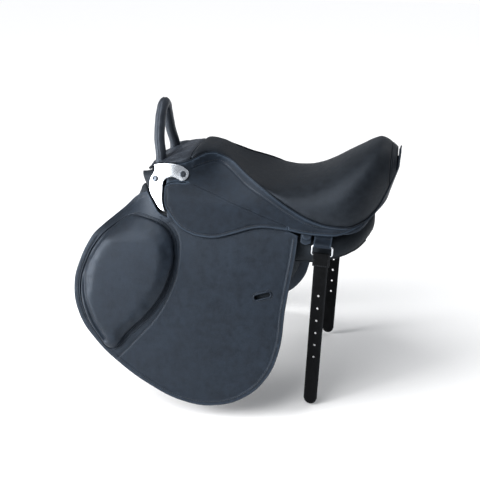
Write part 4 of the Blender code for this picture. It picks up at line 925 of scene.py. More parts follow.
@dataclass
class Leaf:
    """A sheet of leather or metal: cut flat, its edge rounded, creased, then bent to its place."""

    name: str
    outline: Knots
    inner: float
    thickness: float
    place: Place = SIDE.point
    edge: float = 0.0011
    upper_edge: float = 0.0
    cell: float = 0.0050
    relief: Relief | None = None
    fine: tuple[Array, ...] = ()
    fine_reach: float = 0.0022
    squared: Callable[[Array], Array] | None = None
    cutters: tuple[bpy.types.Object, ...] = ()
    steps: int = 12

    def build(self) -> bpy.types.Object:
        """Model the leaf.

        Returns:
            The closed piece, in place.
        """
        self.rim = thinned(outline_points(self.outline, self.steps), max(self.edge * 1.25, 0.0010))
        piece = flat_sheet(self.name, self.rim)
        with editing(piece):
            for share in (0.15, 0.25, 0.30, 0.30):
                bpy.ops.mesh.inset(thickness=self.edge * share, use_even_offset=False)
        with editing(piece):
            bpy.ops.mesh.extrude_region_move(TRANSFORM_OT_translate={"value": (0, 0, self.thickness)})
            slice_up(self.rim, self.cell)
        self.split_finer(piece)
        for cutter in self.cutters:
            carve(piece, cutter)
        flat = points_of(piece)
        uv = flat[:, :2]
        used = None
        if self.squared is not None:
            used = ~self.squared((self.rim + np.roll(self.rim, -1, axis=0)) / 2)
        inset = distance(uv, self.rim, True, used)
        drop = rounding(inset, self.edge)
        upper = flat[:, 2] > self.thickness / 2
        if self.upper_edge:
            share = (self.thickness - self.edge) / self.upper_edge
            drop = np.where(upper, rounding(inset, self.upper_edge) * share, drop)
        rise = self.relief(uv, inset) if self.relief else 0.0
        height = np.where(upper, self.thickness - drop + rise, drop)
        set_points(piece, self.place(uv[:, 0], uv[:, 1], self.inner + height))
        # The rim share paints the leather's edges paler: burnished wear and a painted highlight
        tag(piece, "rim", bell(inset, RIM_FADE) * RIM_SHARE)
        turn_out(piece)
        smooth(piece)
        return piece

    def split_finer(self, piece: bpy.types.Object) -> None:
        """Split the upper faces that a crease or a seam crosses."""
        if not self.fine:
            return
        for reach in (self.fine_reach + self.cell * 0.7, self.fine_reach):
            count = len(piece.data.polygons)
            centres = np.empty(count * 3)
            piece.data.polygons.foreach_get("center", centres)
            centres = centres.reshape(-1, 3)
            away = np.minimum.reduce([distance(centres[:, :2], line) for line in self.fine])
            chosen = (centres[:, 2] > self.thickness * 0.75) & (away < reach)
            with editing(piece, "FACE", chosen):
                bpy.ops.mesh.subdivide(number_cuts=1)


FINE_STITCH = (0.0034, 0.0024, 0.0007)


def groove(away: Array, depth: float, width: float) -> Array:
    """Height of a pressed or sewn line, by the distance from it."""
    return -depth * bell(away, width)


def swell(piece: bpy.types.Object, voxel: float, cap: float, pressure: float = 4.0) -> None:
    """Fill a closed form as a cushion is filled, by a cloth simulation.

    Args:
        piece: The form, a little smaller than the cushion.
        voxel: Size of the faces it is remeshed to.
        cap: The furthest that a point may move.
        pressure: Pressure of the filling.
    """
    pick(piece)
    remesh = piece.modifiers.new("remesh", "REMESH")
    remesh.mode = "VOXEL"
    remesh.voxel_size = voxel
    apply_all(piece)
    with editing(piece, "VERT"):
        bpy.ops.mesh.vertices_smooth(factor=0.5, repeat=3)
    before = points_of(piece)
    cloth = piece.modifiers.new("filling", "CLOTH")
    cloth.settings.use_pressure = True
    cloth.settings.uniform_pressure_force = pressure
    cloth.settings.effector_weights.gravity = 0.0
    for number in range(1, CUSHION_FRAMES + 1):
        bpy.context.scene.frame_set(number)
    apply_all(piece)
    bpy.context.scene.frame_set(1)
    step = points_of(piece) - before
    length = np.linalg.norm(step, axis=1, keepdims=True)
    set_points(piece, before + step * np.minimum(1.0, cap / np.maximum(length, 1e-9)))
    with editing(piece, "VERT"):
        bpy.ops.mesh.vertices_smooth(factor=0.5, repeat=6)
    pick(piece)
    subdivision = piece.modifiers.new("smooth", "SUBSURF")
    subdivision.levels = subdivision.render_levels = 1
    apply_all(piece)


def sew(name: str, rows: Sequence[tuple[Array, Array]], pitch: float = 0.0042,
        length: float = 0.0031, width: float = 0.00085) -> bpy.types.Object:
    """A row or rows of stitches, one modelled and the rest copied from it.

    Args:
        name: The piece's name.
        rows: Lines on the leather, each with the directions square to it.
        pitch: Distance from stitch to stitch.
        length: Length of a stitch.
        width: Width of a stitch.

    Returns:
        The stitches as one piece.
    """
    deselect()
    bpy.ops.mesh.primitive_uv_sphere_add(segments=6, ring_count=4, radius=0.5)
    piece = bpy.context.object
    piece.name = name
    with editing(piece):
        bpy.ops.transform.resize(value=(width, width * 0.8, length))
    base = points_of(piece)[:, [2, 0, 1]]
    faces = [tuple(face.vertices) for face in piece.data.polygons]
    points, polygons = [], []
    for line, normals in rows:
        both = along(np.hstack((line, normals)), pitch) if len(line) > 1 else np.empty((0, 6))
        spots, ups = both[:, :3], both[:, 3:]
        for i in range(len(spots)):
            ahead = spots[min(i + 1, len(spots) - 1)] - spots[max(i - 1, 0)]
            size = np.linalg.norm(ahead)
            if size < 1e-9:
                continue
            ahead /= size
            across = np.cross(ups[i], ahead)
            across /= max(np.linalg.norm(across), 1e-9)
            up = np.cross(ahead, across)
            start = len(points) * len(base)
            points.append(spots[i] + base @ np.stack((ahead, across, up)))
            polygons += [tuple(start + k for k in face) for face in faces]
    mesh = bpy.data.meshes.new(name)
    mesh.from_pydata(np.vstack(points).tolist(), [], polygons)
    piece.data = mesh
    turn_out(piece)
    smooth(piece, 60.0)
    return piece


def laid(line: Array, o: float) -> Array:
    """A flat line laid on the side at height o."""
    return SIDE.point(line[:, 0], line[:, 1], o)


def on_side(line: Array, o: float) -> tuple[Array, Array]:
    """A flat line laid on the side at height o, with the directions square to it."""
    return laid(line, o), SIDE.out(line[:, 0], line[:, 1], o)


def looped(line: Array) -> Array:
    """A line with its first point again at its end."""
    return np.vstack((line, line[:1]))


def strap_outline(middle: float, half: float, top: float, end: float, cornered: bool) -> Knots:
    """Outline of a strap with a pointed end.

    Args:
        middle: Its middle line.
        half: Half its width.
        top: Where it starts.
        end: Where its point is.
        cornered: Whether the point is drawn with straight lines.

    Returns:
        The outline's knots.
    """
    shoulder, rise = half * 0.72, half * 0.35
    point = [(middle + shoulder, end - rise), (middle, end), (middle - shoulder, end - rise)]
    if cornered:
        point = [(*knot, True) for knot in point]
    return [(middle - half, top, True), (middle + half, top, True), (middle + half, end - half, True),
            *point, (middle - half, end - half, True)]


# Dressing pieces and hanging them on their bodies


def dress(piece: bpy.types.Object, finish: Finish, body: str,
          nodes: Sequence[str] = ()) -> None:
    """Give a piece its finish, hang it on its body and hide the CAD nodes that it stands for.

    Args:
        piece: The piece.
        finish: Its finish.
        body: The CAD body that it rides on.
        nodes: The CAD nodes that it stands for.
    """
    piece.data.materials.clear()
    piece.data.materials.append(finish.material())
    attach(piece, body)
    if nodes:
        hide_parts(*nodes)
    LOG.info("%s: %d faces on %s", piece.name, len(piece.data.polygons), body)


def dress_pair(piece: bpy.types.Object, finish: Finish, body: str,
               nodes: Sequence[str] = ()) -> None:
    """Dress a near-side piece and its copy on the off side; the arguments are those of dress."""
    copy = mirrored(piece)
    dress(piece, finish, body, nodes)
    other = [node.replace("_left", "_right") for node in nodes]
    dress(copy, finish, body.replace("_left", "_right"), other)


# The seat and the pommel


@dataclass
class Seat:
    """The padded seat, its piping and the binding round the cantle."""

    front_x: float = -0.1680
    rear_x: float = 0.2003
    foam: float = 0.014
    solid_from: float = 0.1890
    solid_slope: float = 1.13
    back_depth: float = 0.010
    edge_depth: float = 0.0045
    arc: int = 72
    tuck: float = 0.0026
    tuck_run: float = 0.0055
    end_pinch: float = 0.0028
    end_run: float = 0.0030
    squareness: float = 0.85
    flat_power: float = 0.75
    least_skin: float = 0.002
    piping: float = 0.0015
    binding_x: float = 0.1915
    binding_seam: float = 0.0030
    front_seam: float = 0.0072

    def ring(self, x: float, outer: float, inner: float, crest: float, foam: float,
             pinch: float = 0.0) -> Array:
        """Horseshoe section of a padded cover.

        Args:
            x: Station of the section.
            outer: Height of its outer edge off the side.
            inner: Height of its inner edge off the side.
            crest: Height of its top.
            foam: Its thickness.
            pinch: How far its top is drawn in, at the end of the cover.

        Returns:
            The section's points, a row each.
        """
        high = welt_at(np.array([x]), outer)[0]
        low = welt_at(np.array([x]), max(inner, (x - self.solid_from) * self.solid_slope))[0]
        over = self.crown(x, high, crest)
        room = float(np.interp(low[1], over[:, 1], over[:, 2])) - self.edge_depth
        low[2] = min(low[2], room)
        under_crest = max(crest - foam, min(low[2], crest - self.least_skin))
        solid = float(ease((x - self.solid_from) / (self.rear_x - self.solid_from)))
        under_crest += (low[2] + self.back_depth - under_crest) * solid
        under = self.crown(x, low, under_crest)
        run = run_of(over)
        from_edge = np.minimum(run, run[-1] - run)
        inward = unit(under - over, 1e-6)
        pull = self.tuck * bell(from_edge, self.tuck_run) * (1.0 - solid) + pinch
        return np.vstack((over + inward * pull[:, None], under[::-1]))

    def section(self, x: float, pinch: float = 0.0) -> Array:
        """Section of the seat at x, drawn in by pinch."""
        return self.ring(x, COVER_O, 0.0, float(fair(CREST, x)), self.foam, pinch)

    def crown(self, x: float, edge: Array, crest: float) -> Array:
        """Points over the saddle at x, from the near edge over the top to the off edge."""
        angle = np.linspace(0.0, pi, self.arc + 1)
        across = -np.cos(angle)
        wide = abs(edge[1]) * np.abs(across) ** self.squareness * np.sign(across)
        rise = crest - edge[2]
        # A section that hardly rises, or sinks, is drawn with a softer shoulder
        power = self.flat_power + self.flat_power * float(ease((0.004 - rise) / 0.008))
        height = edge[2] + rise * np.sin(angle).clip(0.0) ** power
        return np.column_stack((np.full(self.arc + 1, x), wide, height))

    def stations(self) -> Array:
        """Stations along the seat, close together at both ends."""
        front = self.front_x + np.array((0.0, 0.0006, 0.0014, 0.0026, 0.0042, 0.0064))
        middle = np.arange(self.front_x + 0.0095, self.rear_x - 0.022, 0.0040)
        rear = self.rear_x - np.array((0.020, 0.0165, 0.0135, 0.0110, 0.0088, 0.0070, 0.0054, 0.0040,
                                       0.0028, 0.0018, 0.0010, 0.0004, 0.0))
        return np.concatenate((front, middle, rear))

    def build(self) -> None:
        """Model the seat, its piping and its binding, and dress them."""
        rings = [self.section(x, self.end_pinch * float(bell(x - self.front_x, self.end_run)))
                 for x in self.stations()]
        cover = loft("seat_cover", np.array(rings))
        self.shape(cover)
        dress(cover, SEAT_LEATHER, "saddle", ["seat"])
        self.add_piping()
        self.add_binding()
        self.add_stitches()

    def shape(self, cover: bpy.types.Object) -> None:
        """Press the seam of the cantle's binding into the cover."""
        points = points_of(cover)
        lowest, depth, width = 0.03, 0.0011, 0.0016
        away = np.abs(points[:, 0] - self.binding_x)
        raise_skin(cover, groove(away, depth, width) * (points[:, 2] > lowest))

    def add_piping(self) -> None:
        """Lay the piping in the seam between the seat and the skirts, round the cantle."""
        u = np.concatenate((np.linspace(-0.192, 0.19, 110), np.linspace(0.193, 0.2797, 60)))
        near = SIDE.point(u, fair(WELT, u) + 0.0009, COVER_O - 0.0008)
        far = near[::-1] * FLIP_Y
        line = np.vstack((near, far[1:] if abs(near[-1, 1]) < 0.0005 else far))
        dress(cord_of("seat_piping", line, self.piping), SKIRT_LEATHER, "saddle")

    def add_binding(self) -> None:
        """Lay the fine cord in the seam of the binding round the cantle."""
        line = self.section(self.binding_x)[:self.arc + 1]
        dress(cord_of("cantle_binding_cord", line, 0.0008, 2), SEAT_LEATHER, "saddle")

    def add_stitches(self) -> None:
        """Sew the seat's front edge and the binding."""
        rows = []
        for x in (self.front_x + self.front_seam, self.binding_x + self.binding_seam,
                  self.binding_x - self.binding_seam):
            line = self.section(x)[1:self.arc]
            rows.append((line, self.up_from(line)))
        dress(sew("seat_stitches", rows), THREAD, "saddle")

    @staticmethod
    def up_from(line: Array) -> Array:
        """Directions out of the saddle at the points of an arch."""
        out = unit(np.cross(np.gradient(line, axis=0), np.array((1.0, 0.0, 0.0))), 1e-9)
        return np.where(out[:, 2:3] < 0.0, -out, out)


@dataclass
class Pommel(Seat):
    """The gathered leather over the head of the tree, and the padded roll at its front."""

    front_x: float = -0.2475
    rear_x: float = -0.1690
    arc: int = 96
    front_run: float = 0.0035
    front_inset: float = 0.004
    front_thinning: float = 0.006
    front_fall: float = 0.003
    end_pinch: float = 0.0024
    foot: tuple[float, float] = (-0.2315, 0.047)
    pleats: float = 7.0
    pleat_depth: float = 0.0016
    pleat_start: float = 0.008
    pleat_ramp: float = 0.010
    pleat_reach: float = 0.052
    pleat_lowest: float = 0.096
    head_pad: Knots = (
        (-0.2620, 0.0530, True), (-0.2450, 0.0480), (-0.2350, 0.0430), (-0.2220, 0.0370),
        (-0.2105, 0.0345, True), (-0.2106, 0.0700),
        (-0.2100, 0.0980), (-0.2065, 0.1120), (-0.2050, 0.1200, True), (-0.2135, 0.1155),
        (-0.2210, 0.1050), (-0.2290, 0.0955), (-0.2440, 0.0800), (-0.2600, 0.0620),
    )

    def build(self) -> None:
        """Model the pommel's cover and the head pads, and dress them."""
        ends = np.array((0.0, 0.0006, 0.0015, 0.0028, 0.0045))
        middle = np.arange(self.front_x + 0.0065, self.rear_x - 0.0065, 0.0018)
        stations = np.concatenate((self.front_x + ends, middle, self.rear_x - ends[::-1]))
        rings = []
        for x in stations:
            front = float(bell(x - self.front_x, self.front_run))
            rear = float(bell(x - self.rear_x, self.end_run))
            inset = self.front_inset * front
            foam = self.foam - self.front_thinning * front
            crest = float(fair(CREST, x)) - self.front_fall * front
            rings.append(self.ring(x, COVER_O - inset, inset, crest, foam, self.end_pinch * rear))
        cover = loft("pommel_leather", np.array(rings))
        self.gather(cover)
        dress(cover, GRIP_LEATHER, "saddle", ["pommel_cover"])
        pad = Leaf("head_roll_left", self.head_pad, CLEARANCE, COVER_O - CLEARANCE, edge=0.0040,
                   upper_edge=0.0150, cell=0.0024, steps=6).build()
        dress_pair(pad, SEAT_LEATHER, "saddle", ["head_pad_left"])

    def gather(self, cover: bpy.types.Object) -> None:
        """Draw the leather into the small pleats that run from the handle's feet."""
        points = points_of(cover)
        run, across = points[:, 0] - self.foot[0], np.abs(points[:, 1]) - self.foot[1]
        bearing = np.arctan2(across, run + 0.004)
        reach = np.hypot(run, across)
        fade = ease((reach - self.pleat_start) / self.pleat_ramp) * bell(reach, self.pleat_reach)
        # Each pleat wanders a little on its way
        pleat = np.abs(np.sin(bearing * self.pleats + 0.6 * np.sin(reach * 160.0)))
        top = points[:, 2] > self.pleat_lowest
        raise_skin(cover, -self.pleat_depth * (1.0 - pleat) ** 2 * fade * top)


# The handle and the head plate


@dataclass
class Handle:
    """The grab handle: a steel rod in a padded leather sleeve."""

    radius: float = 0.0098
    x: float = -0.2315
    apex_z: float = 0.2125
    foot_z: float = 0.1070
    sides: int = 40
    spread: float = 0.0007
    spread_run: float = 0.012
    turned_in: float = 0.0012
    turned_run: float = 0.0016
    bend_run: float = 0.045
    seam_depth: float = 0.0007
    seam_width: float = 0.16
    seam_stitches: float = 0.24
    ripple_depth: float = 0.00028
    ripple_pitch: float = 0.0034
    route: tuple[tuple[float, float, float], ...] = (
        (0.0470, 0.090, 0.0000), (0.0445, 0.122, 0.0010), (0.0370, 0.150, -0.0035),
        (0.0295, 0.171, -0.0045), (0.0215, 0.190, -0.0045), (0.0120, 0.2060, -0.0035),
    )

    def line(self) -> Array:
        """The middle line of the handle, from the near foot to the off foot."""
        half = [(self.x + dx, -y, z) for y, z, dx in self.route]
        whole = [*half, (self.x - 0.003, 0.0, self.apex_z), *[(x, -y, z) for x, y, z in half[::-1]]]
        fine = through(np.array(whole), 16)
        fine = fine[fine[:, 2] > self.foot_z + 0.003]
        start = np.array((fine[0, 0], fine[0, 1] - 0.0004, self.foot_z))
        return np.vstack((start, fine, start * FLIP_Y))

    def build(self) -> None:
        """Model the sleeve and its seam, and dress them."""
        line = self.line()
        run = run_of(line)
        from_end = np.minimum(run, run[-1] - run)
        tangent = unit(np.gradient(line, axis=0))
        inner = unit(np.cross(tangent, np.array((1.0, 0.0, 0.0))))
        fore = np.cross(inner, tangent)
        angle = np.linspace(0.0, 2 * pi, self.sides, endpoint=False)
        # The sleeve spreads at its feet, and is turned in at the last millimetre
        widen = (self.spread * bell(from_end, self.spread_run)
                 - self.turned_in * bell(from_end, self.turned_run))
        bend = bell(run - run[-1] / 2, self.bend_run)
        seam = groove(np.angle(np.exp(1j * (angle - pi))), self.seam_depth, self.seam_width)
        rings = []
        for i, place in enumerate(line):
            # Small wrinkles gather on the inner side, most of them at the top of the arch
            ripple = self.ripple_depth * np.sin(run[i] / self.ripple_pitch + 1.7 * np.sin(angle * 2.0))
            ripple = ripple * (0.25 + bend[i]) * (0.5 - 0.5 * np.cos(angle))
            size = self.radius + widen[i] + seam + ripple
            rings.append(place + size[:, None] * (np.cos(angle)[:, None] * inner[i]
                                                  + np.sin(angle)[:, None] * fore[i]))
        sleeve = loft("handle_sleeve", np.array(rings))
        dress(sleeve, GRIP_LEATHER, "saddle", ["handle_grip"])
        rows = []
        for turn in (-self.seam_stitches, self.seam_stitches):
            way = inner * cos(pi + turn) + fore * sin(pi + turn)
            rows.append(((line + way * (self.radius + 0.0001))[4:-4], way[4:-4]))
        dress(sew("handle_stitches", rows, 0.0038, 0.0027, 0.0007), THREAD, "saddle")


@dataclass
class HeadPlate:
    """The polished plate on each side of the head, and the two screws that hold it."""

    outline: Knots = (
        (-0.2290, 0.0375, True), (-0.2180, 0.0340), (-0.2040, 0.0330), (-0.1890, 0.0345),
        (-0.1750, 0.0410), (-0.1665, 0.0520), (-0.1705, 0.0605), (-0.1775, 0.0635),
        (-0.1850, 0.0605), (-0.1930, 0.0575), (-0.2010, 0.0580), (-0.2075, 0.0625),
        (-0.2095, 0.0700), (-0.2090, 0.0840), (-0.2080, 0.0980), (-0.2045, 0.1120),
        (-0.2010, 0.1210, True), (-0.2110, 0.1150), (-0.2185, 0.1050), (-0.2270, 0.0940),
        (-0.2325, 0.0830), (-0.2335, 0.0740), (-0.2325, 0.0630), (-0.2285, 0.0530),
        (-0.2265, 0.0450),
    )
    screws: tuple[tuple[str, float, float], ...] = (("front", -0.2235, 0.063), ("rear", -0.1770, 0.052))
    head_radius: float = 0.0058
    head_height: float = 0.0026
    seating: float = 0.0006
    socket: float = 0.0027
    socket_depth: float = 0.004
    socket_floor: float = 0.0012

    def build(self) -> None:
        """Model the plates and the screws, and dress them."""
        plate = Leaf("head_clamp_plate_left", self.outline, HEAD_PLATE_O, HEAD_PLATE_THICKNESS,
                     edge=0.0009, cell=0.0030).build()
        dress_pair(plate, POLISHED_PLATE, "saddle", ["head_plate_left"])
        for end, u, v in self.screws:
            dress_pair(self.screw(end, u, v), DARK_STEEL, "saddle",
                       [f"plate_bolt_{end}_left"])

    def screw(self, end: str, u: float, v: float) -> bpy.types.Object:
        """A button-head screw with a hexagon socket, seated square on the plate.

        Args:
            end: Which screw it is.
            u: Its run along the side.
            v: Its depth down the side.

        Returns:
            The screw's head.
        """
        deselect()
        bpy.ops.mesh.primitive_cylinder_add(vertices=40, radius=self.head_radius, depth=self.head_height)
        piece = bpy.context.object
        piece.name = piece.data.name = f"plate_screw_{end}_left"
        points = points_of(piece) + np.array((0.0, 0.0, self.head_height / 2))
        set_points(piece, points)
        top = points[:, 2] > self.head_height * 0.9
        with editing(piece, "EDGE", [all(top[i] for i in edge.vertices) for edge in piece.data.edges]):
            bpy.ops.mesh.bevel(offset=self.head_height * 0.62, segments=5, profile=0.5)
        deselect()
        bpy.ops.mesh.primitive_cylinder_add(vertices=6, radius=self.socket, depth=self.socket_depth,
                                            location=(0, 0, self.socket_floor + self.socket_depth / 2))
        carve(piece, bpy.context.object)
        seat, out = self.seat(u, v)
        turn = Vector((0.0, 0.0, 1.0)).rotation_difference(Vector(out)).to_matrix().to_4x4()
        piece.data.transform(Matrix.Translation(Vector(seat + out * self.seating)) @ turn)
        smooth(piece, 35.0)
        return piece

    @staticmethod
    def seat(u: float, v: float) -> tuple[Array, Array]:
        """Where a screw sits on the plate's face, and the direction square to it."""
        o, step = HEAD_PLATE_O + HEAD_PLATE_THICKNESS, 0.002
        run = SIDE.point(u + step, v, o) - SIDE.point(u - step, v, o)
        fall = SIDE.point(u, v + step, o) - SIDE.point(u, v - step, o)
        out = unit(np.cross(run, fall))
        return SIDE.point(u, v, o), out if out[1] < 0 else -out


# The skirts and the flaps


@dataclass
class Skirt:
    """The skirt: a fixed band from the head to the cantle, and a lobe that folds up."""

    head_edge: Knots = (
        (-0.1680, 0.0676, True), (-0.1775, 0.0662), (-0.1850, 0.0656), (-0.1930, 0.0663),
        (-0.1990, 0.0678), (-0.2055, 0.0718), (-0.2078, 0.0775), (-0.2074, 0.0860),
        (-0.2063, 0.0978),
    )
    band_head: Knots = (
        (-0.1715, 0.0652, True), (-0.1775, 0.0648), (-0.1850, 0.0643), (-0.1930, 0.0650),
        (-0.1990, 0.0665), (-0.2055, 0.0704, True),
    )
    edge_line: Knots = (
        (-0.2028, 0.1115), (-0.1960, 0.1215), (-0.1850, 0.1340),
        (-0.1720, 0.1460), (-0.1520, 0.1550), (-0.1330, 0.1590), (-0.1060, 0.1590),
        (-0.0750, 0.1500), (-0.0440, 0.1390), (-0.0210, 0.1345), (0.0040, 0.1350),
    )
    band_edge: Knots = (
        (0.0530, 0.1400), (0.0790, 0.1410), (0.1020, 0.1400), (0.1200, 0.1350), (0.1490, 0.1250),
        (0.1750, 0.1140), (0.1930, 0.1000), (0.2150, 0.0880), (0.2400, 0.0800),
    )
    contour: Knots = (
        (-0.1630, 0.0420), (-0.1450, 0.0352), (-0.1250, 0.0310), (-0.1110, 0.0340), (-0.0890, 0.0470),
        (-0.0590, 0.0650), (-0.0200, 0.0850), (0.0210, 0.1090), (0.0600, 0.1260), (0.0970, 0.1290),
        (0.1300, 0.1270), (0.1650, 0.1170),
    )
    front_u: float = -0.2055
    rear_u: float = 0.0240
    band_rear_u: float = 0.2797
    band_rear_v: float = 0.0760
    gap: float = 0.0020
    meet: float = 0.00015
    fold_middle: float = -0.07175
    fold_half: float = 0.09625
    seam: float = 0.0048
    contour_seam: float = 0.0030
    bead: float = 0.0009

    @staticmethod
    def on_fold(middles: Array) -> Array:
        """Which stretches of an outline lie on the fold, where the edge stays square."""
        return np.abs(middles[:, 1] - fold_v(middles[:, 0])) < 0.0008

    def lobe_outline(self) -> Knots:
        """Outline of the moving lobe, below the fold."""
        return [(-0.1680, fold_v(-0.1680) + self.meet, True), *self.head_edge[1:], *self.edge_line,
                (self.rear_u, self.edge_line[-1][1] + 0.0015, True),
                (self.rear_u, fold_v(self.rear_u) + self.meet, True)]

    def band_outline(self) -> Knots:
        """Outline of the fixed upper part and the band that runs round to the cantle."""
        u = np.concatenate((np.linspace(self.front_u, 0.190, 60),
                            np.linspace(0.193, self.band_rear_u, 40)))
        top = [(float(a), float(fair(WELT, a)) + self.gap, True) for a in u]
        end = self.rear_u + 0.010
        return [*top, (self.band_rear_u, self.band_rear_v, True), *reversed(self.band_edge),
                (end, 0.1378), (self.rear_u + 0.0004, 0.1363, True),
                (self.rear_u + 0.0004, fold_v(self.rear_u) - self.meet, True),
                (-0.1660, fold_v(-0.1660) - self.meet, True), *self.band_head]

    def build(self) -> None:
        """Model the band, the lobe, the underlay, the beads and the stitches, and dress them."""
        self.build_band()
        self.build_back_seam()
        self.build_lobe()
        self.build_underlay()

    def build_band(self) -> None:
        """Model the fixed band."""
        contour = through(np.array(self.contour), 8)
        leaf = Leaf("skirt_upper_left", self.band_outline(), SKIRT_O, SKIRT_THICKNESS, cell=0.0045,
                    fine=(contour,), fine_reach=0.0040,
                    squared=lambda m: self.on_fold(m) & (np.abs(m[:, 0] - self.fold_middle) < self.fold_half),
                    relief=lambda uv, inset: self.roll(uv, contour))
        band = leaf.build()
        dress_pair(band, SKIRT_LEATHER, "saddle", ["skirt_band_left"])
        lower = through(np.array([(self.rear_u + 0.0004, 0.1361), (0.0340, 0.1376), *self.band_edge,
                                  (self.band_rear_u, self.band_rear_v)]), 10)
        rows = [on_side(lower[3:-2] - (0.0, self.seam), COVER_O + 0.0001),
                on_side(contour - (0.0, self.contour_seam), COVER_O + 0.0006)]
        dress_pair(sew("skirt_upper_stitches_left", rows), THREAD, "saddle")
        bead = laid(lower - (0.0, 0.0002), COVER_O - 0.0008)
        dress_pair(cord_of("skirt_upper_bead_left", bead, self.bead), SKIRT_LEATHER, "saddle")

    def build_back_seam(self) -> None:
        """Model the piping sewn in between the two bands, down the back of the cantle."""
        v = np.linspace(float(fair(WELT, self.band_rear_u)) + self.gap, self.band_rear_v - 0.0006, 16)
        middle = SIDE.point(np.full(len(v), SIDE.tail_u + SIDE.tail_run), v, COVER_O - 0.0017)
        middle[:, 1] = 0.0
        dress(cord_of("back_seam_piping", middle, 0.0019), SKIRT_LEATHER, "saddle")

    def roll(self, uv: Array, line: Array) -> Array:
        """Height of the soft roll between the seat's welt and the pressed contour below it."""
        away = distance(uv, line)
        above = uv[:, 1] < fair(self.contour, uv[:, 0])
        past = (uv[:, 0] > self.contour[0][0]) & (uv[:, 0] < self.contour[-1][0])
        body = np.where(above & past, 0.0007 * ease(away / 0.004), 0.0)
        return body * ease((self.contour[-1][0] - uv[:, 0]) / 0.03) + groove(away, 0.0008, 0.0011)

    def build_lobe(self) -> None:
        """Model the lobe that folds up to reach the stirrup bar."""
        outline = self.lobe_outline()
        edge = through(np.array([knot[:2] for knot in (*self.head_edge[4:], *self.edge_line,
                                                       (self.rear_u - 0.0002, 0.1362))]), 8)
        rim = outline_points(outline)
        sewn = inside_line(rim, self.seam)
        sewn = sewn[(sewn[:, 1] > fold_v(sewn[:, 0]) + 0.010) & (sewn[:, 0] < 0.012)]
        bearing = np.mod(np.arctan2(sewn[:, 1] - 0.095, sewn[:, 0] + 0.11), 2 * pi)
        sewn = sewn[np.argsort(bearing)]
        lobe = Leaf("skirt_lobe_left", outline, SKIRT_O, SKIRT_THICKNESS, fine=(sewn,),
                    fine_reach=0.0024, squared=self.on_fold,
                    relief=lambda uv, inset: groove(distance(uv, sewn), 0.00055, 0.0009)).build()
        dress_pair(lobe, SKIRT_LEATHER, "skirt_left_body", ["skirt_left"])
        dress_pair(sew("skirt_lobe_stitches_left", [on_side(sewn, COVER_O - 0.0002)]), THREAD,
                   "skirt_left_body")
        dress_pair(cord_of("skirt_lobe_bead_left", laid(edge, COVER_O - 0.0009), self.bead),
                   SKIRT_LEATHER, "skirt_left_body")

    def build_underlay(self) -> None:
        """Model the lining and the tabs that show as further edges below the band at the rear."""
        for name, start, fall, inner in (("upper", 0.1060, 0.0058, 0.0072),
                                         ("lower", 0.1120, 0.0105, 0.0036)):
            edge = [(u, v) for u, v in self.band_edge if u > start]
            low = [(u, v + fall * float(ease(np.array((u - start) / 0.055)))) for u, v in edge]
            high = [(u, v - 0.012) for u, v in edge]
            outline = [(start, 0.1360, True), *low, (0.2790, 0.0760 + fall, True),
                       (0.2790, 0.0680, True), *high[::-1]]
            lining = Leaf(f"band_lining_{name}_left", outline, inner, 0.0031, cell=0.0050, steps=6)
            dress_pair(lining.build(), FLAP_LEATHER, "saddle")
        right = 0.0655
        for name, left, end, inner in (("upper", 0.0500, 0.1480, 0.0072),
                                       ("lower", 0.0470, 0.1560, 0.0040)):
            outline = [(left, 0.1260, True), (right, 0.1260, True), (right, end - 0.003, True),
                       (right - 0.003, end), (left + 0.003, end), (left, end - 0.003, True)]
            tab = Leaf(f"girth_tab_{name}_left", outline, inner, 0.0028, edge=0.0009, cell=0.0030,
                       steps=5)
            dress_pair(tab.build(), FLAP_LEATHER, "saddle")


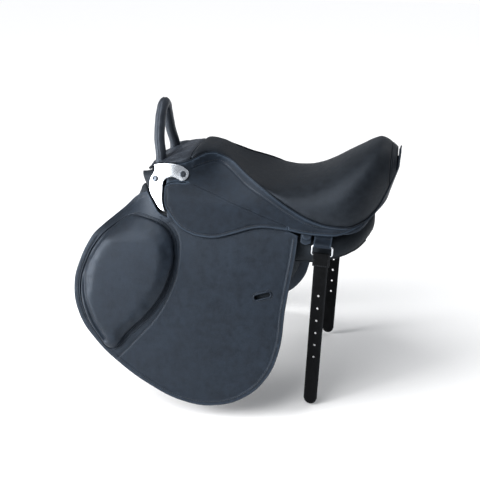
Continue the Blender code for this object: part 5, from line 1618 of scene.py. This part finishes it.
@dataclass
class Flap:
    """The flap with its bound border, its knee roll and its keeper slot, and what lies under it."""

    outline: Knots = (
        (0.0420, 0.1435, True), (0.0390, 0.1900), (0.0340, 0.2300), (0.0290, 0.2750),
        (0.0230, 0.3480), (0.0040, 0.4000), (-0.0360, 0.4420), (-0.0920, 0.4630),
        (-0.1500, 0.4610), (-0.2110, 0.4390), (-0.2720, 0.4040), (-0.3190, 0.3660),
        (-0.3540, 0.3200), (-0.3660, 0.2660), (-0.3550, 0.2130), (-0.3330, 0.1660),
        (-0.3220, 0.1480), (-0.3000, 0.1270), (-0.2680, 0.1030), (-0.2430, 0.0880, True),
        (-0.2330, 0.0990), (-0.2240, 0.1100), (-0.2150, 0.1210), (-0.1975, 0.1300, True),
        (-0.2008, 0.1180), (-0.2032, 0.1100), (-0.2052, 0.0980), (-0.2052, 0.0745, True),
        (-0.1990, 0.0708), (-0.1930, 0.0692), (-0.1850, 0.0685), (-0.1680, 0.0700, True),
        (-0.1620, 0.1280, True), (-0.0460, 0.1280, True), (-0.0460, 0.1110, True),
        (0.0100, 0.1310, True),
    )
    pad: Knots = (
        (-0.2320, 0.1320), (-0.2050, 0.1395), (-0.1860, 0.1560), (-0.1760, 0.1800),
        (-0.1790, 0.2370), (-0.2090, 0.2990), (-0.2570, 0.3530), (-0.2830, 0.3800),
        (-0.2970, 0.3790), (-0.3150, 0.3600), (-0.3440, 0.3160), (-0.3555, 0.2660),
        (-0.3450, 0.2160), (-0.3240, 0.1760), (-0.3030, 0.1530), (-0.2780, 0.1380),
        (-0.2540, 0.1310),
    )
    channel: Knots = (
        (-0.3060, 0.1660), (-0.3250, 0.1920), (-0.3430, 0.2300), (-0.3440, 0.2640),
        (-0.3360, 0.2950), (-0.3190, 0.3310), (-0.2980, 0.3600),
    )
    outer_seam: Knots = (
        (-0.2080, 0.1320), (-0.1830, 0.1480), (-0.1700, 0.1760), (-0.1700, 0.2150), (-0.1760, 0.2480),
        (-0.2020, 0.3060), (-0.2420, 0.3560), (-0.2700, 0.3880), (-0.2860, 0.4020),
    )
    border: float = 0.0086
    border_seam: float = 0.0024
    bead: float = 0.0010
    step: float = 0.0005
    pad_height: float = 0.0165
    pad_edge: float = 0.024
    pad_rings: tuple[float, ...] = (0.0005, 0.0010, 0.0015, 0.0025, 0.0035, 0.0050, 0.0060)
    pad_cell: float = 0.0050
    pad_wall: float = 0.0036
    pad_unfilled: float = 0.74
    pad_voxel: float = 0.0032
    pad_swell: float = 0.0045
    pad_rounding: float = 0.0075
    channel_size: float = 0.0042
    keeper: tuple[float, float] = (-0.012, 0.253)
    keeper_length: float = 0.030
    keeper_width: float = 0.008
    keeper_tilt: float = radians(-19.0)
    sweat_outline: Knots = (
        (-0.2150, 0.1210, True), (0.0280, 0.1280, True), (0.0220, 0.1900), (0.0120, 0.2600),
        (0.0020, 0.3500), (-0.0300, 0.4000), (-0.1000, 0.4250), (-0.1700, 0.4160),
        (-0.2400, 0.3720), (-0.2880, 0.3050), (-0.2980, 0.2400), (-0.2750, 0.1720),
        (-0.2350, 0.1320),
    )

    def build(self) -> None:
        """Model the flap and all that is sewn to it, and dress them."""
        self.build_flap()
        self.build_pad()
        self.build_keeper()
        self.build_sweat_flap()

    def build_flap(self) -> None:
        """Model the flap with its border and its sewn lines."""
        rim = outline_points(self.outline)
        border = inside_line(rim, self.border)
        shown = self.shown(border)
        seam = through(np.array(self.outer_seam), 10)

        def relief(uv: Array, inset: Array) -> Array:
            """The border stands a step above the field, and the sewn lines are drawn in."""
            field = -self.step * ease((inset - self.border + 0.0005) / 0.0010)
            sewn = groove(distance(uv, shown), 0.00045, 0.0009)
            return field + sewn + groove(distance(uv, seam), 0.0007, 0.0013)

        flap = Leaf("flap_leather_left", self.outline, FLAP_O, FLAP_THICKNESS, cell=0.0062,
                    relief=relief, fine=(shown, seam), fine_reach=0.0030,
                    cutters=(self.slot_cutter(self.slot_line(0.0)),)).build()
        dress_pair(flap, FLAP_LEATHER, "flap_left_body", ["flap_left"])
        top = FLAP_O + FLAP_THICKNESS
        stitched = self.shown(inside_line(rim, self.border - self.border_seam))
        rows = [on_side(stitched, top + 0.00005), on_side(seam, top - 0.0009)]
        dress_pair(sew("flap_stitches_left", rows), THREAD, "flap_left_body")
        bead = laid(self.shown(rim), top - self.bead)
        dress_pair(cord_of("flap_edge_bead_left", bead, self.bead), FLAP_LEATHER, "flap_left_body")

    @staticmethod
    def shown(line: Array) -> Array:
        """The stretch of a closed line round the flap that shows, from the rear top to the front."""
        angle = np.arctan2(line[:, 1] - 0.26, line[:, 0] + 0.16)
        keep = (line[:, 1] > 0.150) | ((line[:, 0] < -0.2480) & (line[:, 1] > 0.085))
        order = np.argsort(np.where(angle < -pi / 2, angle + 2 * pi, angle)[keep])
        return line[keep][order]

    def slot_line(self, grow: float) -> Array:
        """Outline of the keeper slot, grown by a margin."""
        half = self.keeper_length / 2 - self.keeper_width / 2
        radius = self.keeper_width / 2 + grow
        points = []
        for end, start in ((1, -90.0), (-1, 90.0)):
            for i in range(9):
                turn = radians(start + 22.5 * i)
                points.append((end * half + radius * cos(turn), radius * sin(turn)))
        a, b = np.array(points).T
        c, s = cos(self.keeper_tilt), sin(self.keeper_tilt)
        return np.column_stack((self.keeper[0] + a * c - b * s, self.keeper[1] + a * s + b * c))

    @staticmethod
    def slot_cutter(line: Array) -> bpy.types.Object:
        """A flat-ended prism that cuts the keeper slot out of the flat flap."""
        cutter = flat_sheet("slot_cutter", line)
        set_points(cutter, points_of(cutter) - np.array((0.0, 0.0, 0.002)))
        with editing(cutter):
            bpy.ops.mesh.extrude_region_move(TRANSFORM_OT_translate={"value": (0, 0, 0.009)})
            bpy.ops.mesh.normals_make_consistent(inside=False)
        return cutter

    def build_keeper(self) -> None:
        """Model the raised rim of the keeper slot, bound and sewn."""
        line = through(self.slot_line(0.0012), 2, True)
        top = FLAP_O + FLAP_THICKNESS - self.step + 0.0001
        rim = cord_of("keeper_rim_left", laid(line, top), 0.0015, 3, True)
        dress_pair(rim, FLAP_LEATHER, "flap_left_body")
        outer = looped(through(self.slot_line(0.0042), 2, True))
        dress_pair(sew("keeper_stitches_left", [on_side(outer, top)], *FINE_STITCH), THREAD,
                   "flap_left_body")

    def build_pad(self) -> None:
        """Model the knee roll: filled in the flat, seamed, then bent over the flap."""
        edge = outline_points(self.pad)
        form = flat_sheet("knee_roll_left", thinned(inside_line(edge, 0.0010), 0.0030))
        blank = 0.010
        with editing(form):
            bpy.ops.mesh.extrude_region_move(TRANSFORM_OT_translate={"value": (0, 0, blank)})
            for step in self.pad_rings:
                bpy.ops.mesh.inset(thickness=step, use_even_offset=False)
        with editing(form):
            slice_up(edge, self.pad_cell)
        flat = points_of(form)
        share = np.clip(distance(flat[:, :2], edge, True) / self.pad_edge, 0.0, 1.0)
        crown = (self.pad_height - 0.0022) * np.sqrt(1.0 - (1.0 - share) ** 2)
        flat[:, 2] = np.where(flat[:, 2] > blank / 2, self.pad_wall + crown * self.pad_unfilled, 0.0)
        set_points(form, flat)
        turn_out(form)
        swell(form, self.pad_voxel, self.pad_swell)
        flat = points_of(form)
        uv = flat[:, :2]
        line = through(np.array(self.channel), 8)
        height = np.clip(flat[:, 2], 0.0, self.pad_height + 0.0030)
        press = ease((height - 0.002) / 0.006)
        height = height + groove(distance(uv, line), self.channel_size, self.channel_size) * press
        edge_share = np.clip(distance(uv, edge, True) / self.pad_rounding, 0.0, 1.0)
        height = height * np.sqrt(1.0 - (1.0 - edge_share) ** 2)
        base = FLAP_O + FLAP_THICKNESS - self.step - 0.0003
        set_points(form, SIDE.point(uv[:, 0], uv[:, 1], base + height))
        turn_out(form)
        smooth(form, 60.0)
        dress_pair(form, FLAP_LEATHER, "flap_left_body", ["knee_pad_left"])
        top = FLAP_O + FLAP_THICKNESS - self.step
        welt = cord_of("knee_roll_welt_left", laid(edge, top + 0.0004), 0.0013, 3, True)
        dress_pair(welt, FLAP_LEATHER, "flap_left_body")

    def build_sweat_flap(self) -> None:
        """Model the sweat flap and the front girth strap that lie under the flap."""
        leaf = Leaf("sweat_flap_leather_left", self.sweat_outline, SWEAT_FLAP_O, SWEAT_FLAP_THICKNESS,
                    edge=0.0008, cell=0.0085, steps=8)
        dress_pair(leaf.build(), PANEL_LEATHER, "saddle", ["sweat_flap_left"])
        outline = strap_outline(-0.060, 0.0125, 0.118, 0.430, True)
        strap = Leaf("front_strap_left", outline, FRONT_STRAP_O, GIRTH_STRAP_THICKNESS, edge=0.0008,
                     cell=0.0070, relief=lambda uv, inset: groove(inset - 0.0026, 0.0003, 0.0006))
        dress_pair(strap.build(), STRAP_LEATHER, "saddle", ["front_girth_strap_left"])


# The panels


@dataclass
class Panel:
    """The flocked cushion on each side of the horse's spine."""

    gullet: Knots = (
        (-0.2720, 0.056), (-0.2620, 0.046), (-0.2400, 0.042), (-0.2000, 0.037), (-0.1000, 0.033),
        (0.0000, 0.032), (0.1000, 0.032), (0.1740, 0.034),
    )
    inner_top: Knots = (
        (-0.2720, 0.068), (-0.2620, 0.078), (-0.2400, 0.062), (-0.1000, 0.058), (0.0000, 0.050),
        (0.1000, 0.058), (0.1400, 0.064), (0.1740, 0.060),
    )
    outer_top: Knots = (
        (-0.2720, 0.064), (-0.2620, 0.072), (-0.2500, 0.060), (-0.2350, 0.030), (-0.2000, 0.0245),
        (0.0600, 0.0190), (0.1000, 0.0200), (0.1450, 0.0290), (0.1600, 0.0360), (0.1740, 0.0440),
    )
    inner_low: Knots = (
        (-0.2720, 0.030), (-0.2400, 0.022), (-0.1800, 0.010), (-0.1000, 0.002), (0.0000, 0.0),
        (0.0800, 0.003), (0.1300, 0.010), (0.1600, 0.018), (0.1740, 0.028),
    )
    outer_low: Knots = (
        (-0.2720, 0.018), (-0.2620, -0.012), (-0.2450, -0.034), (-0.2000, -0.052), (-0.1300, -0.056),
        (-0.0500, -0.048), (0.0400, -0.036), (0.0720, -0.034), (0.0980, -0.028), (0.1330, -0.018),
        (0.1510, -0.010), (0.1630, 0.000), (0.1740, 0.012),
    )
    front_bend: tuple[float, float] = (-0.200, 0.078)
    rear_bend: tuple[float, float] = (0.100, 0.078)
    roundness: float = 0.55
    bulge: float = 0.0028
    crown: float = 0.007
    slack: float = 0.0016
    voxel: float = 0.0055
    swelling: float = 0.0022
    ends: tuple[float, float] = (-0.2720, 0.1740)

    def control(self, x: float) -> Array:
        """The nine places that the section at x is drawn through, as distance and height."""
        inner, inner_top, outer_top, inner_low, outer_low = (
            float(fair(knots, x)) for knots in (self.gullet, self.inner_top, self.outer_top,
                                                self.inner_low, self.outer_low))
        bulge = self.bulge * float(ease((x - 0.045) / 0.03))
        flat_x = min(max(x, self.front_bend[0]), self.rear_bend[0])
        reach = self.front_bend[1] if x < flat_x else self.rear_bend[1]
        taper = (1.0 - ((x - flat_x) / reach) ** 2) ** self.roundness

        def outside(z: float, o: float) -> float:
            """Distance out to the side at a height, drawn in towards the ends."""
            v = float(solve(lambda depth: z - SIDE.section(depth, np.array(o))[2], np.array(-0.08),
                            np.array(0.6)))
            return inner + (-float(SIDE.point(flat_x, v, o)[1]) - inner) * taper

        middle = (outer_top + outer_low) / 2
        low_y = outside(outer_low, -0.010)
        return np.array([
            (inner, inner_top),
            (inner + (outside(outer_top, -0.012) - inner) * 0.62,
             outer_top + (inner_top - outer_top) * 0.45),
            (outside(outer_top, -0.004) - 0.004, outer_top),
            (outside(middle, bulge - CLEARANCE), middle),
            (low_y, outer_low),
            (low_y + (inner - low_y) * 0.35, outer_low + (inner_low - outer_low) * 0.35 - self.crown),
            (low_y + (inner - low_y) * 0.70, outer_low + (inner_low - outer_low) * 0.70 - self.crown),
            (inner + 0.002, inner_low + 0.001), (inner - 0.002, (inner_low + inner_top) / 2),
        ])

    def build(self) -> None:
        """Model the cushion, fill it, and sew its lower seam."""
        close = np.array((0.0, 0.0012, 0.0030, 0.0055))
        xs = np.concatenate((self.ends[0] + close, np.arange(-0.2635, 0.1665, 0.0060),
                             self.ends[1] - close[::-1]))
        controls = [self.control(x) for x in xs]
        rings = []
        for x, places in zip(xs, controls):
            ring = through(places, 6, True)
            middle = ring.mean(axis=0)
            span = np.maximum(np.linalg.norm(ring - middle, axis=1, keepdims=True), 1e-6)
            ring = middle + (ring - middle) * (1.0 - self.slack / span)
            rings.append(np.column_stack((np.full(len(ring), x), -ring[:, 0], ring[:, 1])))
        cushion = loft("panel_cushion_left", np.array(rings))
        swell(cushion, self.voxel, self.swelling)
        smooth(cushion, 70.0)
        dress_pair(cushion, PANEL_LEATHER, "saddle", ["panel_left"])
        seam = [self.lay_on(cushion, (x, -places[4, 0] - 0.003, places[4, 1] - 0.001))
                for x, places in zip(xs[4:-4], controls[4:-4])]
        seam = through(np.array(seam), 3)
        dress_pair(cord_of("panel_welt_left", seam, 0.0014), PANEL_LEATHER, "saddle")

    @staticmethod
    def lay_on(cushion: bpy.types.Object, place: Sequence[float]) -> Array:
        """The point of the cushion's skin nearest to a place."""
        found, spot, normal, _ = cushion.closest_point_on_mesh(Vector(place))
        return np.array(spot + normal * 0.0003 if found else place)


# The girth attachment


@dataclass
class GirthAttachment:
    """The square ring under the band, the chape that holds it and the strap that hangs from it."""

    ring_x: float = 0.087
    ring_width: float = 0.039
    ring_height: float = 0.020
    wire: float = 0.0017
    corner: float = 0.0034
    top_y: float = 0.1408
    top_z: float = 0.0069
    lean: float = radians(2.0)
    chape_width: float = 0.0305
    chape_ply: float = 0.0012
    chape_run: float = 0.034
    chape_lean: float = 0.0073
    loop_width: float = 0.0300
    loop_length: float = 0.0210
    loop_ply: float = 0.0018
    eye: float = 0.0007
    strap_width: float = 0.0250
    strap_length: float = 0.2960
    tenon: float = 0.0120
    hole: float = 0.0023
    hole_stretch: tuple[float, float, float] = (0.85, 1.15, 1.0)
    dish: float = 0.0004
    dish_reach: float = 0.0042
    pitch: float = 0.0250
    holes: int = 6
    first_hole: float = 0.0700

    def __post_init__(self) -> None:
        """Set out the directions across and down the strap, and the ring's two bars."""
        self.down = np.array((-sin(self.lean), 0.0, -cos(self.lean)))
        self.across = np.array((cos(self.lean), 0.0, -sin(self.lean)))
        self.top = np.array((self.ring_x, -self.top_y, self.top_z))
        self.bottom = self.top + self.down * (self.ring_height - 2 * self.wire)

    def build(self) -> None:
        """Model the ring, the chape, the loop and the strap, and dress them."""
        self.build_ring()
        self.build_chape()
        self.build_loop()
        self.build_strap()

    def build_ring(self) -> None:
        """Model the ring, welded from round wire."""
        half = self.ring_width / 2 - self.wire
        height = self.ring_height - 2 * self.wire
        line = []
        for x, y, start in ((half, 0.0, -90.0), (half, height, 0.0), (-half, height, 90.0),
                            (-half, 0.0, 180.0)):
            cx = x - self.corner * (1 if x > 0 else -1)
            cy = y + self.corner * (1 if y == 0.0 else -1)
            for i in range(9):
                turn = radians(start + 11.25 * i)
                line.append(self.top + self.across * (cx + self.corner * cos(turn))
                            + self.down * (cy + self.corner * sin(turn)))
        ring = cord_of("square_girth_ring_left", np.array(line), self.wire, 5, True)
        dress_pair(ring, BRIGHT_STEEL, "ring_left_body", ["girth_ring_left"])

    def folded(self, name: str, path: Array, axes: tuple[Array, Array, Array], half: float, ply: float
               ) -> bpy.types.Object:
        """A strip with sewn edges, bent along a path in a plane square to the ring's bars.

        Args:
            name: Its name.
            path: Points of the path, as steps out of the strip and down it.
            axes: Where the path starts from, the direction out and the direction down.
            half: Half its width.
            ply: Its thickness.

        Returns:
            The strip.
        """
        origin, facing, way = axes
        run = run_of(path)
        tangent = unit(np.gradient(path, run, axis=0))
        square = np.column_stack((-tangent[:, 1], tangent[:, 0]))

        def place(u: Array, v: Array, o: Array) -> Array:
            """Places on the bent strip."""
            at = [np.interp(v, run, path[:, k]) + o * np.interp(v, run, square[:, k]) for k in (0, 1)]
            return (origin + u[:, None] * self.across + at[0][:, None] * facing
                    + at[1][:, None] * way)

        outline = [(-half, 0.0, True), (half, 0.0, True), (half, run[-1], True), (-half, run[-1], True)]
        return Leaf(name, outline, -ply / 2, ply, place=place, edge=min(ply / 2, 0.0007), cell=0.0011,
                    relief=lambda uv, inset: groove(half - np.abs(uv[:, 0]) - 0.0028, 0.0003, 0.0006)
                    ).build()

    def hairpin(self, spread: float, radius: float, length: float) -> Array:
        """A path down the front of a bar, round it and down its back."""
        turn = np.radians(np.linspace(-35.0, 215.0, 26))
        arc = np.column_stack((radius * np.cos(turn), -radius * np.sin(turn)))
        front = np.column_stack((np.full(12, spread), np.linspace(length, radius * 1.7, 12)))
        back = np.column_stack((np.full(12, -spread), np.linspace(radius * 1.7, length, 12)))
        whole = np.vstack((front, arc, back))
        for _ in range(3):
            whole[1:-1] = (whole[:-2] + 2 * whole[1:-1] + whole[2:]) / 4
        return whole

    def build_chape(self) -> None:
        """Model the chape: a strip folded round the ring's top bar, its ends under the band."""
        up = np.array((0.0, sin(SIDE.upper_lean), cos(SIDE.upper_lean)))
        facing = np.array((0.0, -cos(SIDE.upper_lean), sin(SIDE.upper_lean)))
        radius = self.wire + self.eye + self.chape_ply / 2
        path = self.hairpin(self.chape_ply * 0.52, radius, self.chape_run)
        path[:, 0] += self.sway(path[:, 1])
        chape = self.folded("ring_chape_strip_left", path, (self.top, facing, up), self.chape_width / 2,
                            self.chape_ply)
        dress_pair(chape, SKIRT_LEATHER, "saddle", ["ring_chape_left"])
        run = np.linspace(0.0045, 0.0160, 10)[:, None]
        lift = self.sway(run) + self.chape_ply * 1.04
        rows = []
        for side in (-1, 1):
            base = self.top + self.across * side * (self.chape_width / 2 - 0.0026)
            rows.append((base + up * run + facing * lift, np.tile(facing, (10, 1))))
        dress_pair(sew("chape_stitches_left", rows, 0.0032, 0.0023, 0.0007), THREAD, "saddle")

    def sway(self, run: Array) -> Array:
        """How far the chape leans in towards the band, by the distance up from the bar."""
        return -self.chape_lean * ease((run - 0.0015) / 0.0150)

    def build_loop(self) -> None:
        """Model the loop: a strip folded round the ring's bottom bar and sewn to the strap."""
        facing = np.array((0.0, -1.0, 0.0))
        spread = GIRTH_STRAP_THICKNESS / 2 + self.loop_ply / 2
        radius = self.wire + self.eye + self.loop_ply / 2
        path = self.hairpin(spread, radius, self.loop_length)
        loop = self.folded("strap_fold_left", path, (self.bottom, facing, self.down),
                           self.loop_width / 2, self.loop_ply)
        dress_pair(loop, STRAP_LEATHER, "strap_left_body", ["strap_loop_left"])
        lift = facing * (spread + self.loop_ply / 2)
        rows = []
        for side in (-1, 1):
            base = self.bottom + self.across * side * (self.loop_width / 2 - 0.0028)
            line = base + self.down * np.linspace(0.0065, 0.0195, 8)[:, None]
            rows.append((line + lift, np.tile(facing, (8, 1))))
        cross = (self.bottom + self.down * 0.0190
                 + self.across * np.linspace(-0.011, 0.011, 10)[:, None])
        rows.append((cross + lift, np.tile(facing, (10, 1))))
        dress_pair(sew("loop_stitches_left", rows, *FINE_STITCH), THREAD, "strap_left_body")

    def build_strap(self) -> None:
        """Model the strap with its punched holes and pointed end."""
        start = self.loop_length - self.tenon + CLEARANCE
        outline = strap_outline(0.0, self.strap_width / 2, self.loop_length - 0.010,
                                start + self.strap_length, False)
        middles = [(0.0, start + self.first_hole + self.pitch * i) for i in range(self.holes)]
        cutters = []
        for middle in middles:
            deselect()
            bpy.ops.mesh.primitive_cylinder_add(vertices=20, radius=self.hole, depth=0.02)
            cutter = bpy.context.object
            set_points(cutter, points_of(cutter) * self.hole_stretch + np.array((*middle, 0.0)))
            cutters.append(cutter)

        def place(u: Array, v: Array, o: Array) -> Array:
            """Places on the hanging strap."""
            return (self.bottom + u[:, None] * self.across + v[:, None] * self.down
                    + o[:, None] * np.array((0.0, -1.0, 0.0)))

        def relief(uv: Array, inset: Array) -> Array:
            """Creased lines along the edges and a slight dish round each hole."""
            away = np.min([np.linalg.norm(uv - np.array(middle), axis=1) for middle in middles], axis=0)
            return groove(inset - 0.0026, 0.00035, 0.0006) + groove(away, self.dish, self.dish_reach)

        strap = Leaf("rear_strap_left", outline, -GIRTH_STRAP_THICKNESS / 2, GIRTH_STRAP_THICKNESS,
                     place=place, edge=0.0009, cell=0.0016, relief=relief, cutters=tuple(cutters)).build()
        dress_pair(strap, STRAP_LEATHER, "strap_left_body", ["rear_girth_strap_left"])


# The carried-over metal, and the studio


@dataclass
class Hardware:
    """The tree, its webbing and the metal whose CAD form is right: finished, not remade."""

    finishes: tuple[tuple[str, Finish], ...] = (
        ("tree", TREE_NYLON), ("seat_web", SEAT_WEBBING), ("stirrup_bar", FORGED_STEEL),
        ("bar_rivet", BRIGHT_STEEL), ("bar_catch", FORGED_STEEL), ("catch_pin", BRIGHT_STEEL),
        ("handle_rod", BRIGHT_STEEL), ("handle_nut", BRIGHT_STEEL),
    )

    def build(self) -> None:
        """Give each carried-over node its finish."""
        for start, finish in self.finishes:
            for name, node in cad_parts.items():
                if name.startswith(start):
                    node.data.materials.clear()
                    node.data.materials.append(finish.material())
                    LOG.info("%s: %s", name, finish.name)


@dataclass
class Studio:
    """A white paper floor, soft light and the camera at the photograph's angle."""

    azimuth: float = radians(12.5)
    elevation: float = radians(22.5)
    place: tuple[float, float, float] = (0.2245, -1.4188, 0.5483)
    focal: float = 802.14
    frame_size: float = 480.0
    world: float = 0.34
    sun: float = 2.75

    def build(self, floor_z: float) -> None:
        """Set up the floor, the lights and the camera.

        Args:
            floor_z: Height of the floor.
        """
        self.lay_floor(floor_z)
        self.light()
        self.aim_camera()

    def lay_floor(self, floor_z: float) -> None:
        """Lay the sheet of paper."""
        deselect()
        bpy.ops.mesh.primitive_plane_add(size=14.0)
        floor = bpy.context.object
        floor.name = "paper_floor"
        set_points(floor, points_of(floor) + np.array((0.0, 0.0, floor_z)))
        floor.data.materials.append(Paper("matt_background_paper").material())

    def light(self) -> None:
        """Light the saddle from a white room and large soft boxes."""
        scene = bpy.context.scene
        scene.view_settings.view_transform = "Standard"
        world = bpy.data.worlds.new("white_room")
        world.use_nodes = True
        tree = world.node_tree
        tree.nodes.clear()
        # The room is pure white to the camera and dimmer to the saddle
        path = add_node(tree, "ShaderNodeLightPath").outputs
        seen = add_node(tree, "ShaderNodeMath", {},
                        {0: path["Is Camera Ray"], 1: path["Is Transmission Ray"]}, operation="MAXIMUM")
        dim = add_node(tree, "ShaderNodeBackground", {"Color": srgb("f2f5fa"), "Strength": self.world})
        white = add_node(tree, "ShaderNodeBackground", {"Color": srgb("ffffff"), "Strength": 1.0})
        mix = add_node(tree, "ShaderNodeMixShader", {},
                       {0: seen.outputs[0], 1: dim.outputs[0], 2: white.outputs[0]})
        add_node(tree, "ShaderNodeOutputWorld", {}, {0: mix.outputs[0]})
        scene.world = world
        self.hang("SUN", "sky_light", (-1.3, -1.1, 2.2), self.sun, radians(55.0))
        self.hang("AREA", "front_box", (-2.1, -1.4, 0.5), 96.0, 1.4)
        self.hang("AREA", "rear_box", (1.5, 1.2, 1.9), 10.0, 1.4)

    @staticmethod
    def hang(kind: str, name: str, place: tuple[float, float, float], power: float,
             spread: float) -> None:
        """Hang a lamp that looks at the saddle.

        Args:
            kind: SUN or AREA.
            name: Its name.
            place: Where it hangs.
            power: Its strength.
            spread: A sun's angle, or the side of a soft box.
        """
        lamp = bpy.data.lights.new(name, kind)
        lamp.energy = power
        if kind == "SUN":
            lamp.angle = spread
        else:
            lamp.size = spread
        holder = bpy.data.objects.new(name, lamp)
        holder.location = place
        aim = Vector((-0.05, 0.0, -0.02)) - Vector(place)
        holder.rotation_euler = aim.to_track_quat("-Z", "Y").to_euler()
        bpy.context.scene.collection.objects.link(holder)

    def aim_camera(self) -> None:
        """Place the camera where the photograph was taken from."""
        a, e = self.azimuth, self.elevation
        right = Vector((cos(a), sin(a), 0.0))
        back = Vector((sin(a) * cos(e), -cos(a) * cos(e), sin(e)))
        up = back.cross(right)
        data = bpy.data.cameras.new("camera")
        data.sensor_width = 36.0
        data.lens = self.focal / self.frame_size * data.sensor_width
        data.clip_start = 0.01
        camera = bpy.data.objects.new("camera", data)
        turn = Matrix((right, up, back)).transposed().to_4x4()
        camera.matrix_world = Matrix.Translation(Vector(self.place)) @ turn
        bpy.context.scene.collection.objects.link(camera)
        bpy.context.scene.camera = camera


def main() -> None:
    """Build every sub-assembly in order."""
    logging.basicConfig(level=logging.INFO, format="%(name)s: %(message)s", stream=sys.stdout)
    for assembly in (Seat(), Pommel(), Handle(), HeadPlate(), Skirt(), Flap(), Panel(),
                     GirthAttachment(), Hardware()):
        LOG.info("building %s", type(assembly).__name__)
        assembly.build()
    Studio().build(CAD_BOX[0][2] - 0.004)


if __name__ == "__main__":
    main()
